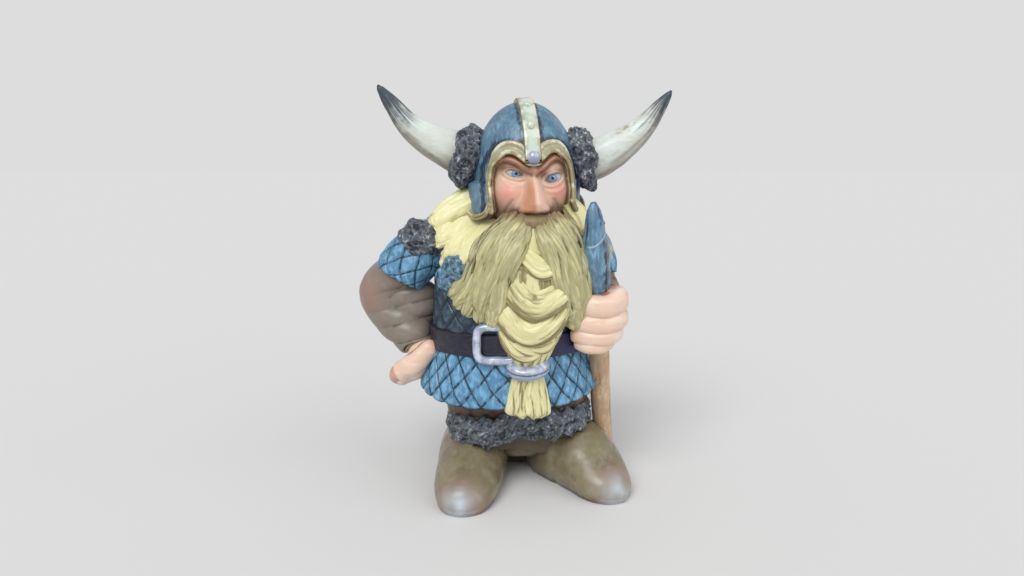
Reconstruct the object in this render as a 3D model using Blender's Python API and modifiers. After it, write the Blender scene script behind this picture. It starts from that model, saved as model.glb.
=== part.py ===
"""A viking warrior figurine, cast and painted as one piece.

He stands on his own boots with one hand on his hip and the other fist on the haft of an axe.
The figure faces -Y and stands on Z = 0. Its origin is on the sole, in the middle of the web
that joins the two heels. Every place below is in hundredths of the figure's height, so one
length drives them all.
"""

import math

import bmesh
import bpy
import numpy as np
from mathutils import Matrix, Vector

# Driving sizes, in metres
FIGURE_HEIGHT = 0.22
HAFT_DIAMETER = 0.0115
BELT_WIDTH = 0.0136
BUCKLE_BAR = 0.0048

CASTING_GRAIN = 0.00055

UNIT = FIGURE_HEIGHT / 100

# Places shared by several forms, in hundredths of the height
HEAD_CENTRE = (3.4, 0.5, 80.0)
HEAD_TURN = math.radians(7)
HEAD_LEAN = math.radians(-2)
DOME = (13.3, 14.7, 19.0)
WAIST_CENTRE = (-0.8, -0.8)
WAIST = (19.8, 16.0)
BELT_MIDDLE = 39.6
HEM_LOW = 23.8
HEM_RISE = 2.8
HEEL_WEB = (1.0, 10.0)

forms = bpy.data.collections.new("viking_figure_forms")
figure = bpy.data.collections.new("viking_figure")


def clear_scene():
    for obj in list(bpy.data.objects):
        bpy.data.objects.remove(obj)
    for collection in (forms, figure):
        bpy.context.scene.collection.children.link(collection)


def keep(name, mesh):
    """Puts a closed mesh, already in hundredths of the height, among the forms at its real size."""
    obj = bpy.data.objects.new(name, mesh)
    mesh.transform(Matrix.Scale(UNIT, 4))
    forms.objects.link(obj)
    obj.hide_render = True
    obj.display_type = "WIRE"
    return obj


def keep_bmesh(name, shape):
    bmesh.ops.remove_doubles(shape, verts=shape.verts, dist=1e-4)
    bmesh.ops.recalc_face_normals(shape, faces=shape.faces)
    mesh = bpy.data.meshes.new(name)
    shape.to_mesh(mesh)
    shape.free()
    return keep(name, mesh)


def on_head(point):
    """A point of the head's own frame, with its face towards -Y, in the figure's frame."""
    turned = Matrix.Rotation(HEAD_TURN, 3, "Z") @ Matrix.Rotation(HEAD_LEAN, 3, "Y")
    return turned @ Vector(point) + Vector(HEAD_CENTRE)


def smooth_path(points, count):
    """Points spaced along a Catmull-Rom curve through the given points, whatever their number of columns."""
    p = np.array(points, float)
    p = np.vstack([2 * p[0] - p[1], p, 2 * p[-1] - p[-2]])
    spans = len(p) - 3
    path = []
    for t in np.linspace(0, spans, count):
        i = min(int(t), spans - 1)
        s = t - i
        a, b, c, d = p[i : i + 4]
        path.append(
            0.5 * (2 * b + (c - a) * s + (2 * a - 5 * b + 4 * c - d) * s**2 + (3 * b - a - 3 * c + d) * s**3)
        )
    return np.array(path)


def blob(name, centre, radii, turn=(0, 0, 0), segments=12, rings=8):
    """An ellipsoid, turned by three angles in degrees about X, Y and Z."""
    shape = bmesh.new()
    bmesh.ops.create_uvsphere(shape, u_segments=segments, v_segments=rings, radius=1)
    angles = [math.radians(a) for a in turn]
    place = (
        Matrix.Translation(centre)
        @ Matrix.Rotation(angles[2], 4, "Z")
        @ Matrix.Rotation(angles[1], 4, "Y")
        @ Matrix.Rotation(angles[0], 4, "X")
        @ Matrix.Diagonal((*radii, 1))
    )
    bmesh.ops.transform(shape, matrix=place, verts=shape.verts)
    return keep_bmesh(name, shape)


def fur(name, centre, radii, turn=(0, 0, 0), lumps=7, depth=0.13, subdivisions=3):
    """A tuft of curly fur: a rounded form whose surface rises and falls in lumps."""
    shape = bmesh.new()
    bmesh.ops.create_icosphere(shape, subdivisions=subdivisions, radius=1)
    for v in shape.verts:
        x, y, z = v.co
        wave = math.sin(lumps * x + 2.1 * y) * math.sin(lumps * y - 1.7 * z) + math.sin(lumps * z + 2.6 * x)
        v.co *= 1 + depth * wave / 2
    angles = [math.radians(a) for a in turn]
    place = (
        Matrix.Translation(centre)
        @ Matrix.Rotation(angles[2], 4, "Z")
        @ Matrix.Rotation(angles[1], 4, "Y")
        @ Matrix.Rotation(angles[0], 4, "X")
        @ Matrix.Diagonal((*radii, 1))
    )
    bmesh.ops.transform(shape, matrix=place, verts=shape.verts)
    return keep_bmesh(name, shape)


def strand(name, points, radii, count=7, resolution=1, closed=False):
    """A round bar along a smooth curve, with its radius changing from point to point."""
    rows = smooth_path([(*p, r) for p, r in zip(points, radii)], count)
    curve = bpy.data.curves.new(name, "CURVE")
    curve.dimensions = "3D"
    curve.bevel_depth = 1
    curve.bevel_resolution = resolution
    curve.use_fill_caps = not closed
    line = curve.splines.new("POLY")
    line.points.add(len(rows) - 1)
    line.use_cyclic_u = closed
    for point, row in zip(line.points, rows):
        point.co = (*row[:3], 1)
        point.radius = row[3]
    return keep_curve(name, curve)


def keep_curve(name, curve):
    """Makes a curve's bevelled bar a welded mesh among the forms."""
    holder = bpy.data.objects.new(name, curve)
    bpy.context.scene.collection.objects.link(holder)
    graph = bpy.context.evaluated_depsgraph_get()
    mesh = bpy.data.meshes.new_from_object(holder.evaluated_get(graph))
    bpy.data.objects.remove(holder)
    shape = bmesh.new()
    shape.from_mesh(mesh)
    return keep_bmesh(name, shape)


def oval(centre, halves, z, count, power=2.0, start=0.0):
    """A level ring of points on a rounded oval, counter-clockwise from above."""
    ring = []
    for k in range(count):
        angle = start + 2 * math.pi * k / count
        c, s = math.cos(angle), math.sin(angle)
        ring.append(
            (
                centre[0] + halves[0] * math.copysign(abs(c) ** (2 / power), c),
                centre[1] + halves[1] * math.copysign(abs(s) ** (2 / power), s),
                z,
            )
        )
    return ring


def loft(name, rings):
    """A closed body through rings of equal count, with a flat cap at each end."""
    shape = bmesh.new()
    rows = [[shape.verts.new(p) for p in ring] for ring in rings]
    for low, high in zip(rows, rows[1:]):
        for k in range(len(low)):
            n = (k + 1) % len(low)
            shape.faces.new((low[k], low[n], high[n], high[k]))
    shape.faces.new(rows[0])
    shape.faces.new(rows[-1])
    return keep_bmesh(name, shape)


def limb_rings(spine, count, sides, turn=0.0):
    """Rings square to a smooth spine, each row of which is x, y, z, half width and half height."""
    path = smooth_path(spine, count)
    rings = []
    for i, row in enumerate(path):
        before, after = path[max(i - 1, 0)], path[min(i + 1, len(path) - 1)]
        along = Vector(after[:3] - before[:3]).normalized()
        across = along.cross(Vector((0, 0, 1))).normalized()
        up = across.cross(along)
        ring = []
        for k in range(sides):
            angle = turn + 2 * math.pi * k / sides
            ring.append(Vector(row[:3]) + across * row[3] * math.cos(angle) + up * row[4] * math.sin(angle))
        rings.append(ring)
    return rings


def quilted(name, rings, depth):
    """A body through rings, whose skin is a net of grooves between raised diamonds.

    Points stand proud or sunk by turns, and each quad is cut from sunk corner to sunk corner,
    so the cuts join up as crossing grooves.
    """
    shape = bmesh.new()
    count = len(rings[0])
    grid = []
    for i, ring in enumerate(rings):
        middle = sum((Vector(p) for p in ring), Vector()) / count
        inner = 0 < i < len(rings) - 1
        row = []
        for k, point in enumerate(ring):
            out = (Vector(point) - middle).normalized()
            proud = depth / 2 if (i + k) % 2 else -depth / 2
            row.append(shape.verts.new(Vector(point) + out * proud * inner))
        grid.append(row)
    for i, (low, high) in enumerate(zip(grid, grid[1:])):
        for k in range(count):
            n = (k + 1) % count
            if (i + k) % 2 == 0:
                shape.faces.new((low[k], low[n], high[n]))
                shape.faces.new((low[k], high[n], high[k]))
            else:
                shape.faces.new((low[k], low[n], high[k]))
                shape.faces.new((low[n], high[n], high[k]))
    shape.faces.new(grid[0])
    shape.faces.new(grid[-1])
    return keep_bmesh(name, shape)


def fur_band(name, centre, halves, heights, thick, tall, lumps):
    """A band of curly fur round both legs: a fat ring whose surface rises and falls in lumps.

    It climbs between two heights, from the figure's right leg to the left one, and dips in
    where the legs meet in front.
    """
    shape = bmesh.new()
    around, across = 56, 10
    grid = []
    for k in range(around):
        turn = 2 * math.pi * k / around
        side = math.copysign(abs(math.cos(turn)) ** (2 / 2.6), math.cos(turn))
        face = math.copysign(abs(math.sin(turn)) ** (2 / 2.6), math.sin(turn))
        x = centre[0] + halves[0] * side
        climb = 1 / (1 + math.exp(-(x + 2.5) / 1.8))
        z = heights[0] + (heights[1] - heights[0]) * climb
        dip = 1 - 0.17 * math.exp(-(((x - 1.8) / 3.4) ** 2)) * (face < 0)
        row = []
        for j in range(across):
            tilt = 2 * math.pi * j / across
            wave = math.sin(lumps * turn + 3 * tilt) + math.sin((lumps + 6) * turn - 2 * tilt)
            swell = 1 + 0.15 * wave
            out = thick * math.cos(tilt) * swell
            row.append(
                shape.verts.new(
                    (
                        x + out * math.cos(turn),
                        centre[1] + halves[1] * face * dip + out * math.sin(turn),
                        z + tall * math.sin(tilt) * swell,
                    )
                )
            )
        grid.append(row)
    for k in range(around):
        m = (k + 1) % around
        for j in range(across):
            n = (j + 1) % across
            shape.faces.new((grid[k][j], grid[m][j], grid[m][n], grid[k][n]))
    return keep_bmesh(name, shape)


def plate(name, outline, thickness, place):
    """A flat outline in X and Y, given its thickness along Z, then placed by a matrix."""
    curve = bpy.data.curves.new(name, "CURVE")
    curve.dimensions = "2D"
    curve.fill_mode = "BOTH"
    curve.extrude = thickness / 2
    line = curve.splines.new("POLY")
    line.points.add(len(outline) - 1)
    line.use_cyclic_u = True
    for point, (x, y) in zip(line.points, outline):
        point.co = (x, y, 0, 1)
    obj = keep_curve(name, curve)
    obj.data.transform(Matrix.Scale(UNIT, 4) @ place @ Matrix.Scale(1 / UNIT, 4))
    return obj


def tunic():
    """The quilted tunic, from the shoulders to the flared hem, solid down to the hem."""
    belt_top = BELT_MIDDLE + BELT_WIDTH / UNIT / 2
    belt_low = BELT_MIDDLE - BELT_WIDTH / UNIT / 2
    chest = [
        (belt_low, WAIST_CENTRE, WAIST),
        (belt_top + 1, WAIST_CENTRE, WAIST),
        (47.4, (-0.9, -0.6), (19.6, 15.8)),
        (51.0, (-0.8, -0.3), (19.5, 15.2)),
        (54.6, (-0.7, 0.2), (19.4, 14.4)),
        (58.2, (-0.5, 0.8), (19.2, 13.4)),
        (61.8, (-0.3, 1.4), (18.8, 12.2)),
        (65.6, (0.0, 1.8), (17.2, 10.8)),
        (69.4, (0.8, 2.0), (12.6, 9.2)),
        (74.0, (2.4, 1.6), (8.0, 8.0)),
    ]
    quilted("tunic_chest", [oval(centre, halves, z, 36, 2.2) for z, centre, halves in chest], 0.9)
    skirt = [
        (HEM_LOW - 0.5, (-0.9, -1.0), (20.6, 15.8)),
        (HEM_LOW + 0.5, (-1.1, -0.8), (23.1, 17.7)),
        (HEM_LOW + 4.0, (-1.1, -0.8), (22.7, 17.5)),
        (HEM_LOW + 7.2, (-1.0, -0.8), (21.6, 17.0)),
        (HEM_LOW + 10.4, (-0.9, -0.8), (20.8, 16.5)),
        (belt_low + 1.5, WAIST_CENTRE, WAIST),
    ]
    rings = []
    for i, (z, centre, halves) in enumerate(skirt):
        share = max(0, 1 - i / 4)
        ring = [(x, y, h + HEM_RISE * share * min(1, (y + 18) / 15)) for x, y, h in oval(centre, halves, z, 52, 2.2)]
        rings.append(ring)
    quilted("tunic_skirt", rings, 1.0)


def belt():
    """The belt, standing a little proud of the tunic, and its open buckle."""
    half = BELT_WIDTH / UNIT / 2
    rings = []
    for z, proud in ((-half, 0.3), (-half + 0.5, 0.9), (half - 0.5, 0.9), (half, 0.3)):
        halves = (WAIST[0] + proud, WAIST[1] + proud)
        rings.append(oval(WAIST_CENTRE, halves, BELT_MIDDLE + z, 36, 2.2))
    loft("belt", rings)
    bar = BUCKLE_BAR / UNIT / 2
    corners = []
    for k in range(16):
        angle = 2 * math.pi * k / 16
        c, s = math.cos(angle), math.sin(angle)
        x = -3.6 + 4.9 * math.copysign(abs(c) ** 0.45, c)
        z = BELT_MIDDLE + 1.0 + 4.2 * math.copysign(abs(s) ** 0.45, s)
        corners.append((x, -17.9, z))
    ring = corners + corners[:1]
    strand("buckle", ring[:-1], [bar] * 16, 16, 1, True)


def legs():
    """The breeches, and the low web behind the boots that joins them down to the sole."""
    loft(
        "breeches",
        [
            oval((1.0, 2.4), (17.6, 11.4), 8.6, 24, 2.6),
            oval((1.0, 1.6), (18.0, 10.6), 13, 24, 2.6),
            oval((1.2, 0.6), (18.4, 12.0), 18, 24, 2.4),
            oval((1.2, -0.4), (19.8, 14.4), HEM_LOW + 4.5, 24, 2.4),
        ],
    )
    loft(
        "web",
        [
            oval((1.2, 10.6), (16.4, 4.4), -2, 20, 2.6),
            oval((1.2, 9.4), (16.6, 5.8), 4, 20, 2.6),
            oval((1.2, 4.8), (17.4, 10.0), 10, 20, 2.6),
            oval((1.2, 2.4), (17.2, 12.0), 15, 20, 2.6),
        ],
    )
    blob("arch", (2.4, -1.0, 10.4), (8.0, 6.6, 5.8), segments=16, rings=10)


def boots():
    """Two soft boots, each lofted from the heel under the breeches to a round toe."""
    right = (
        (-9.2, 18.2, 4.6, 2.6, 2.6),
        (-9.4, 15.4, 4.6, 6.6, 6.8),
        (-10.2, 4.0, 5.6, 9.3, 10.2),
        (-10.8, -8.0, 4.6, 8.9, 8.6),
        (-11.7, -18.0, 2.8, 7.9, 6.2),
        (-12.0, -24.4, 2.0, 5.2, 4.2),
        (-12.1, -27.0, 1.8, 0.9, 0.8),
    )
    left = (
        (7.6, 18.0, 4.6, 2.6, 2.6),
        (8.4, 15.0, 4.6, 6.6, 6.8),
        (12.6, 3.6, 6.4, 9.6, 11.0),
        (18.8, -5.6, 5.8, 9.2, 9.6),
        (23.4, -13.2, 3.2, 7.9, 6.2),
        (26.2, -17.4, 2.1, 5.2, 4.2),
        (27.8, -19.6, 1.9, 0.9, 0.8),
    )
    loft("boot_right", limb_rings(right, 14, 16))
    loft("boot_left", limb_rings(left, 14, 16))


def cuff():
    """The dark fur at the boot tops, one band round both legs."""
    fur_band("cuff", (1.8, -0.6), (16.8, 12.2), (15.5, 18.2), 2.4, 4.0, 17)


def hip_arm():
    """The figure's right arm: a quilted cap, a full sleeve bent at the elbow and a hand on the hip."""
    cap = (
        (-14.0, 1.0, 62.4, 5.6, 5.6),
        (-21.4, 0.8, 62.4, 6.9, 6.9),
        (-26.2, 0.4, 58.8, 7.2, 7.0),
        (-29.2, 0.2, 55.2, 7.0, 6.8),
        (-30.0, 0.1, 54.0, 5.6, 5.4),
    )
    quilted("cap_right", limb_rings(cap, 10, 16), 0.7)
    strand(
        "sleeve_right",
        ((-26.0, 0.6, 58.0), (-31.4, 1.6, 54.4), (-35.0, 2.6, 49.8), (-32.8, 2.8, 45.0), (-28.6, 1.2, 41.2), (-25.2, -1.6, 37.2), (-24.6, -2.2, 36.1)),
        (5.0, 5.6, 5.8, 6.0, 6.2, 4.8, 3.6),
        12,
        3,
    )
    blob("sleeve_fold_right", (-27.0, 1.6, 47.2), (7.6, 4.9, 8.0))
    blob("palm_right", (-23.4, -3.8, 34.4), (3.8, 4.2, 4.4), (0, 35, 0))
    fingers = (
        ((-21.4, -7.0, 36.6), (-25.0, -7.4, 33.0), (-28.4, -6.4, 30.6), (-29.6, -6.0, 29.9)),
        ((-21.8, -4.0, 34.2), (-25.2, -4.6, 30.8), (-28.8, -4.6, 28.9), (-30.0, -4.6, 28.7)),
        ((-21.8, -0.8, 33.8), (-25.0, -1.0, 30.6), (-28.2, -1.6, 28.9), (-29.0, -1.8, 28.6)),
    )
    for k, finger in enumerate(fingers):
        strand(f"finger_right_{k}", finger, (2.4, 2.75, 2.6, 2.2), 6, 1)


def axe_arm():
    """The figure's left arm: it hangs from the shoulder and comes forward to a fist round the haft."""
    strand(
        "cap_left",
        ((14.5, 2.0, 63.5), (19.0, 2.4, 62.6), (21.4, 1.6, 58.0), (22.0, 1.0, 54.6)),
        (5.0, 6.2, 6.0, 5.6),
        6,
        2,
    )
    strand(
        "sleeve_left",
        ((20.6, 2.0, 60.0), (22.6, 2.0, 53.0), (23.6, -0.6, 48.6), (23.4, -6.0, 47.2), (23.0, -9.6, 46.6)),
        (4.8, 5.2, 5.4, 5.0, 4.4),
        8,
        2,
    )
    blob("palm_left", (23.0, -11.0, 45.6), (4.9, 4.6, 6.6), (0, -8, 0))
    fingers = (
        (50.2, 49.6, 26.6, 18.0, (3.2, 3.4, 3.0, 2.5, 1.9)),
        (45.9, 45.1, 27.4, 17.0, (2.4, 2.7, 2.6, 2.35, 1.8)),
        (42.2, 41.8, 26.8, 16.6, (2.0, 2.2, 2.15, 1.95, 1.6)),
        (39.9, 39.5, 25.2, 17.0, (1.5, 1.7, 1.65, 1.5, 1.2)),
    )
    for k, (high, low, knuckle, tip, radii) in enumerate(fingers):
        spine = (
            (knuckle - 2.2, -8.6, high + 0.4),
            (knuckle - 1.4, -12.6, high + 0.3),
            ((knuckle + tip) / 2, -15.6, (high + low) / 2 - 0.5),
            (tip, -14.4, low),
            (tip - 0.4, -12.6, low),
        )
        strand(f"finger_left_{k}", spine, radii, 8, 1)


def axe():
    """The axe: a straight haft that leans forward beside the boot, and a crescent head with a short poll.

    The head is seen edge on from the front. Each of its rows gives the height along the haft,
    the reach of the cutting edge, the reach of the back and half the thickness.
    """
    foot, crown = Vector((26.0, 4.4, -1.0)), Vector((19.5, -16.2, 68.4))
    strand("haft", (foot, (foot + crown) / 2, crown), [HAFT_DIAMETER / UNIT / 2] * 3, 3, 2)
    along = (crown - foot).normalized()
    side = Vector((0.12, 1, 0)).cross(along).normalized()
    back = along.cross(side)
    eye = Vector((20.2, -13.4, 62.8))
    rows = (
        (-13.2, -1.6, -0.2, 1.4),
        (-12.4, -3.2, 0.4, 2.5),
        (-9.4, -4.8, 1.0, 3.2),
        (-5.0, -5.6, 2.0, 3.4),
        (-3.2, -5.9, 4.6, 3.5),
        (0.0, -6.1, 5.4, 3.5),
        (3.2, -5.8, 4.6, 3.2),
        (5.4, -5.3, 1.6, 2.6),
        (8.4, -4.2, 0.2, 2.2),
        (10.8, -2.8, -0.2, 1.6),
        (12.6, -1.4, -0.4, 0.7),
    )
    rings = []
    for height, edge, poll, thick in rows:
        ring = []
        for k in range(12):
            angle = 2 * math.pi * k / 12
            reach = (edge + poll) / 2 + (poll - edge) / 2 * math.cos(angle)
            ring.append(eye + along * height + back * reach + side * thick * math.sin(angle))
        rings.append(ring)
    loft("axe_head", rings)


def helmet():
    """The helmet: a tall dome with hanging cheek guards and a recess for the face."""
    dome = blob("dome", (0, 0, 0), DOME, segments=28, rings=16)
    for v in dome.data.vertices:
        v.co = on_head(v.co / UNIT) * UNIT
    guards = (
        ("right", (-12.8, -5.4, -2.2), (2.2, 5.8, 8.0)),
        ("left", (12.0, -5.4, -2.2), (2.0, 5.4, 8.0)),
    )
    for side, centre, radii in guards:
        blob("guard_" + side, on_head(centre), radii, (0, 0, math.degrees(HEAD_TURN)), 12, 10)
    neck = blob("neck_guard", on_head((0, 2.2, -1.6)), (12.8, 13.6, 3.4), segments=24, rings=8)
    return dome, neck


def face_opening():
    """The outline of the face opening in the head's frame: down one guard, over both brows, down the other."""
    half = [(-9.9, -7.6), (-10.2, -1.5), (-9.3, 3.6), (-6.6, 7.2), (-3.2, 6.8), (-0.6, 3.6)]
    return half, [(-x, z) for x, z in reversed(half)]


def dome_depth(x, z, proud=0.0):
    """How far forward the dome's surface lies at a place in the head's frame."""
    share = 1 - (x / DOME[0]) ** 2 - (max(z, 0) / DOME[2]) ** 2
    return -DOME[1] * math.sqrt(max(share, 0.02)) - proud


def face():
    """The face in its recess: cheeks, brows, eyes and a large nose over the moustache."""
    right, left = face_opening()
    outline = [(x, z) for x, z in smooth_path(right + left, 21)]
    outline += [(9.6, -14), (-9.6, -14)]
    look = Matrix.Rotation(HEAD_TURN, 4, "Z") @ Matrix.Rotation(HEAD_LEAN, 4, "Y")
    place = Matrix.Translation(HEAD_CENTRE) @ look @ Matrix.Translation((0, -13, 0)) @ Matrix.Rotation(math.pi / 2, 4, "X")
    cutter = plate("face_recess", outline, 18, place)
    blob("head", on_head((0, 0.3, -1.6)), (12.0, 13.3, 16.0), (0, 0, math.degrees(HEAD_TURN)), 20, 14)
    for side in (-1, 1):
        blob(f"forehead_{side}", on_head((side * 4.8, -9.6, 5.0)), (4.8, 3.5, 3.6), segments=10, rings=8)
        blob(f"cheek_{side}", on_head((side * 5.5, -9.2, -4.2)), (5.0, 4.3, 4.6), segments=12, rings=8)
        blob(f"eye_{side}", on_head((side * 4.5, -11.4, 0.9)), (2.5, 1.9, 1.5), segments=10, rings=6)
        strand(
            f"brow_{side}",
            [on_head(p) for p in ((side * 0.6, -13.8, 2.0), (side * 3.4, -13.3, 3.1), (side * 6.4, -11.8, 4.3), (side * 8.6, -9.6, 3.6))],
            (1.0, 1.3, 1.2, 0.7),
            5,
            1,
        )
        blob(f"nostril_{side}", on_head((side * 3.1, -14.4, -6.6)), (2.3, 2.4, 2.0), segments=10, rings=8)
    strand(
        "nose",
        [on_head(p) for p in ((0, -12.4, 3.0), (0, -13.6, 0.0), (0, -15.4, -3.6), (0, -16.6, -6.4), (0, -15.6, -8.2))],
        (1.5, 2.0, 2.7, 3.1, 2.0),
        8,
        2,
    )
    return cutter


def trim():
    """The helmet's raised rim round the face, its crest band over the dome, and the band's studs."""
    right, left = face_opening()
    rim = []
    for x, z in right + left:
        y = dome_depth(x, z) if z > -4 else dome_depth(x, 0) + 0.6
        rim.append(on_head((x, y + 0.3, z)))
    strand("rim", rim, [1.25] * len(rim), 30, 1)
    for side in (-1, 1):
        edge = ((10.1, -10.6, -6.8), (11.4, -9.2, -9.6), (13.2, -6.2, -10.1), (14.2, -2.6, -9.2), (14.5, 0.2, -6.6))
        strand(f"guard_rim_{side}", [on_head((side * x, y, z)) for x, y, z in edge], (1.2, 1.1, 1.0, 1.0, 0.9), 10, 1)
    crest = []
    for k in range(19):
        angle = math.radians(-8 + 176.5 * k / 18)
        crest.append(((DOME[1] + 0.8) * math.cos(angle), (DOME[2] + 0.8) * math.sin(angle)))
    crest += [(-DOME[1] - 0.9, 3.6), (-4, 1.5)]
    look = Matrix.Rotation(HEAD_TURN, 4, "Z") @ Matrix.Rotation(HEAD_LEAN, 4, "Y")
    upright = Matrix(((0, 0, 1, 0), (1, 0, 0, 0), (0, 1, 0, 0), (0, 0, 0, 1)))
    plate("crest", crest, 3.9, Matrix.Translation(HEAD_CENTRE) @ look @ upright)
    for k, (y, z) in enumerate(((-15.4, 4.9), (-12.6, 12.4), (-7.9, 17.2))):
        blob(f"stud_{k}", on_head((0, y, z)), (1.15, 1.15, 1.15), segments=8, rings=6)


def horns():
    """The two horns and the collars of fur that they grow from."""
    strand(
        "horn_right",
        ((-9.0, 1.0, 84.8), (-15.0, 1.0, 86.8), (-21.7, 0.0, 90.0), (-25.8, -1.0, 92.9), (-29.8, -2.0, 97.9), (-32.4, -3.0, 101.4), (-32.9, -3.2, 102.2)),
        (5.4, 5.2, 4.1, 3.1, 2.1, 1.0, 0.4),
        12,
        3,
    )
    strand(
        "horn_left",
        ((15.0, 1.0, 83.4), (21.8, 1.0, 84.9), (28.3, 0.0, 88.7), (33.3, -1.0, 92.8), (36.7, -2.0, 97.4), (38.7, -3.0, 100.2), (39.2, -3.2, 101.0)),
        (5.4, 5.2, 4.2, 2.9, 1.8, 0.8, 0.3),
        12,
        3,
    )
    fur("horn_fur_right", (-11.3, 0.8, 84.9), (4.8, 8.2, 9.0), (0, 14, 0), 6, 0.16)
    fur("horn_fur_left", (17.8, 0.8, 84.5), (4.5, 8.0, 8.8), (0, -14, 0), 6, 0.16)


def moustache():
    """Two heavy falls of hair, each of five locks that fan out from under the nose."""
    right = (
        ((4.2, -14.6, 69.8), (0.6, -18.6, 64.4), (-2.0, -19.2, 58.0), (-3.8, -18.4, 50.6), (-4.8, -17.8, 46.4)),
        ((3.2, -14.0, 70.8), (-1.6, -18.6, 64.8), (-4.2, -19.0, 59.0), (-6.6, -18.2, 52.0), (-7.8, -17.4, 47.2)),
        ((1.2, -12.8, 71.2), (-3.4, -17.4, 65.2), (-5.8, -18.0, 59.8), (-8.0, -17.4, 53.6), (-10.6, -16.6, 48.6)),
        ((-0.4, -12.0, 70.6), (-4.8, -15.8, 64.6), (-6.9, -16.6, 59.6), (-9.0, -16.2, 54.0), (-12.6, -15.2, 50.4)),
        ((-2.0, -11.2, 69.0), (-6.0, -14.0, 63.6), (-8.0, -14.8, 59.2), (-9.8, -14.8, 55.0), (-13.8, -14.4, 52.4)),
    )
    left = (
        ((6.4, -14.6, 69.8), (9.2, -18.6, 64.4), (11.6, -18.8, 58.6), (14.0, -17.6, 51.6), (14.9, -16.2, 45.8)),
        ((7.7, -14.0, 70.8), (11.2, -18.2, 64.8), (13.2, -18.2, 59.0), (14.9, -17.0, 52.0), (15.4, -15.8, 45.4)),
        ((9.7, -12.8, 71.2), (12.8, -16.8, 65.2), (14.8, -17.2, 59.4), (16.0, -16.2, 52.4), (16.0, -15.2, 45.8)),
        ((11.6, -12.0, 70.8), (14.6, -15.4, 64.8), (16.2, -15.8, 59.4), (17.0, -15.0, 53.0), (16.6, -14.2, 46.4)),
        ((13.2, -11.0, 69.8), (15.8, -13.4, 64.4), (17.2, -13.6, 59.4), (17.6, -13.2, 53.4), (17.2, -12.8, 48.2)),
    )
    for side, locks in (("right", right), ("left", left)):
        for k, lock in enumerate(locks):
            strand(f"moustache_{side}_{k}", lock, (1.7, 2.7, 2.85, 2.7, 1.9), 9, 1)


def beard():
    """The long beard: swags of hair one under another, drawn through a ring, and a loose tuft below it."""
    loft(
        "beard",
        [
            oval((3.9, -16.2), (3.0, 2.4), 33, 12),
            oval((4.2, -16.4), (5.4, 3.2), 39, 12),
            oval((4.6, -16.0), (8.0, 4.0), 46, 12),
            oval((4.8, -15.2), (8.6, 4.6), 54, 12),
            oval((5.0, -13.6), (8.4, 4.6), 62, 12),
            oval((5.0, -12.0), (6.4, 3.6), 70, 12),
        ],
    )
    swags = (
        ((1.4, -15.6, 66.4), (3.8, -17.8, 62.2), (7.2, -18.9, 59.6), (10.6, -17.6, 61.8), (12.4, -15.2, 65.4), 2.7),
        ((-1.8, -15.4, 61.0), (1.0, -18.2, 55.0), (5.4, -19.8, 51.0), (10.4, -18.4, 53.2), (13.4, -15.2, 58.6), 3.7),
        ((-4.0, -15.2, 54.6), (-0.8, -18.2, 47.8), (4.2, -19.8, 44.2), (9.8, -18.4, 47.2), (13.4, -15.4, 53.0), 3.1),
        ((-1.8, -16.6, 46.0), (-0.6, -18.0, 42.4), (1.6, -19.2, 39.8), (4.2, -19.2, 38.8), (6.6, -18.0, 39.4), 2.4),
        ((3.0, -18.4, 41.6), (5.4, -19.3, 40.8), (7.6, -19.0, 41.0), (9.4, -17.8, 42.8), (10.8, -16.6, 45.6), 1.9),
    )
    for k, (*spine, thick) in enumerate(swags):
        strand(f"swag_{k}", spine, (thick * 0.7, thick * 0.9, thick, thick * 0.9, thick * 0.7), 10, 1)
    ring = []
    for k in range(14):
        angle = 2 * math.pi * k / 14
        ring.append((3.9 + 3.8 * math.cos(angle), -18.0 + 2.6 * math.sin(angle), 35.0 + 1.2 * math.sin(angle)))
    strand("beard_ring", ring, [1.6] * 14, 14, 1, True)
    loft(
        "tuft",
        [
            oval((3.9, -17.6), (4.0, 1.8), 22.6, 14),
            oval((3.9, -17.8), (5.6, 2.6), 23.6, 14),
            oval((3.9, -17.8), (5.0, 2.8), 27.6, 14),
            oval((3.9, -17.8), (3.6, 2.6), 33.0, 14),
        ],
    )


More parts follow.
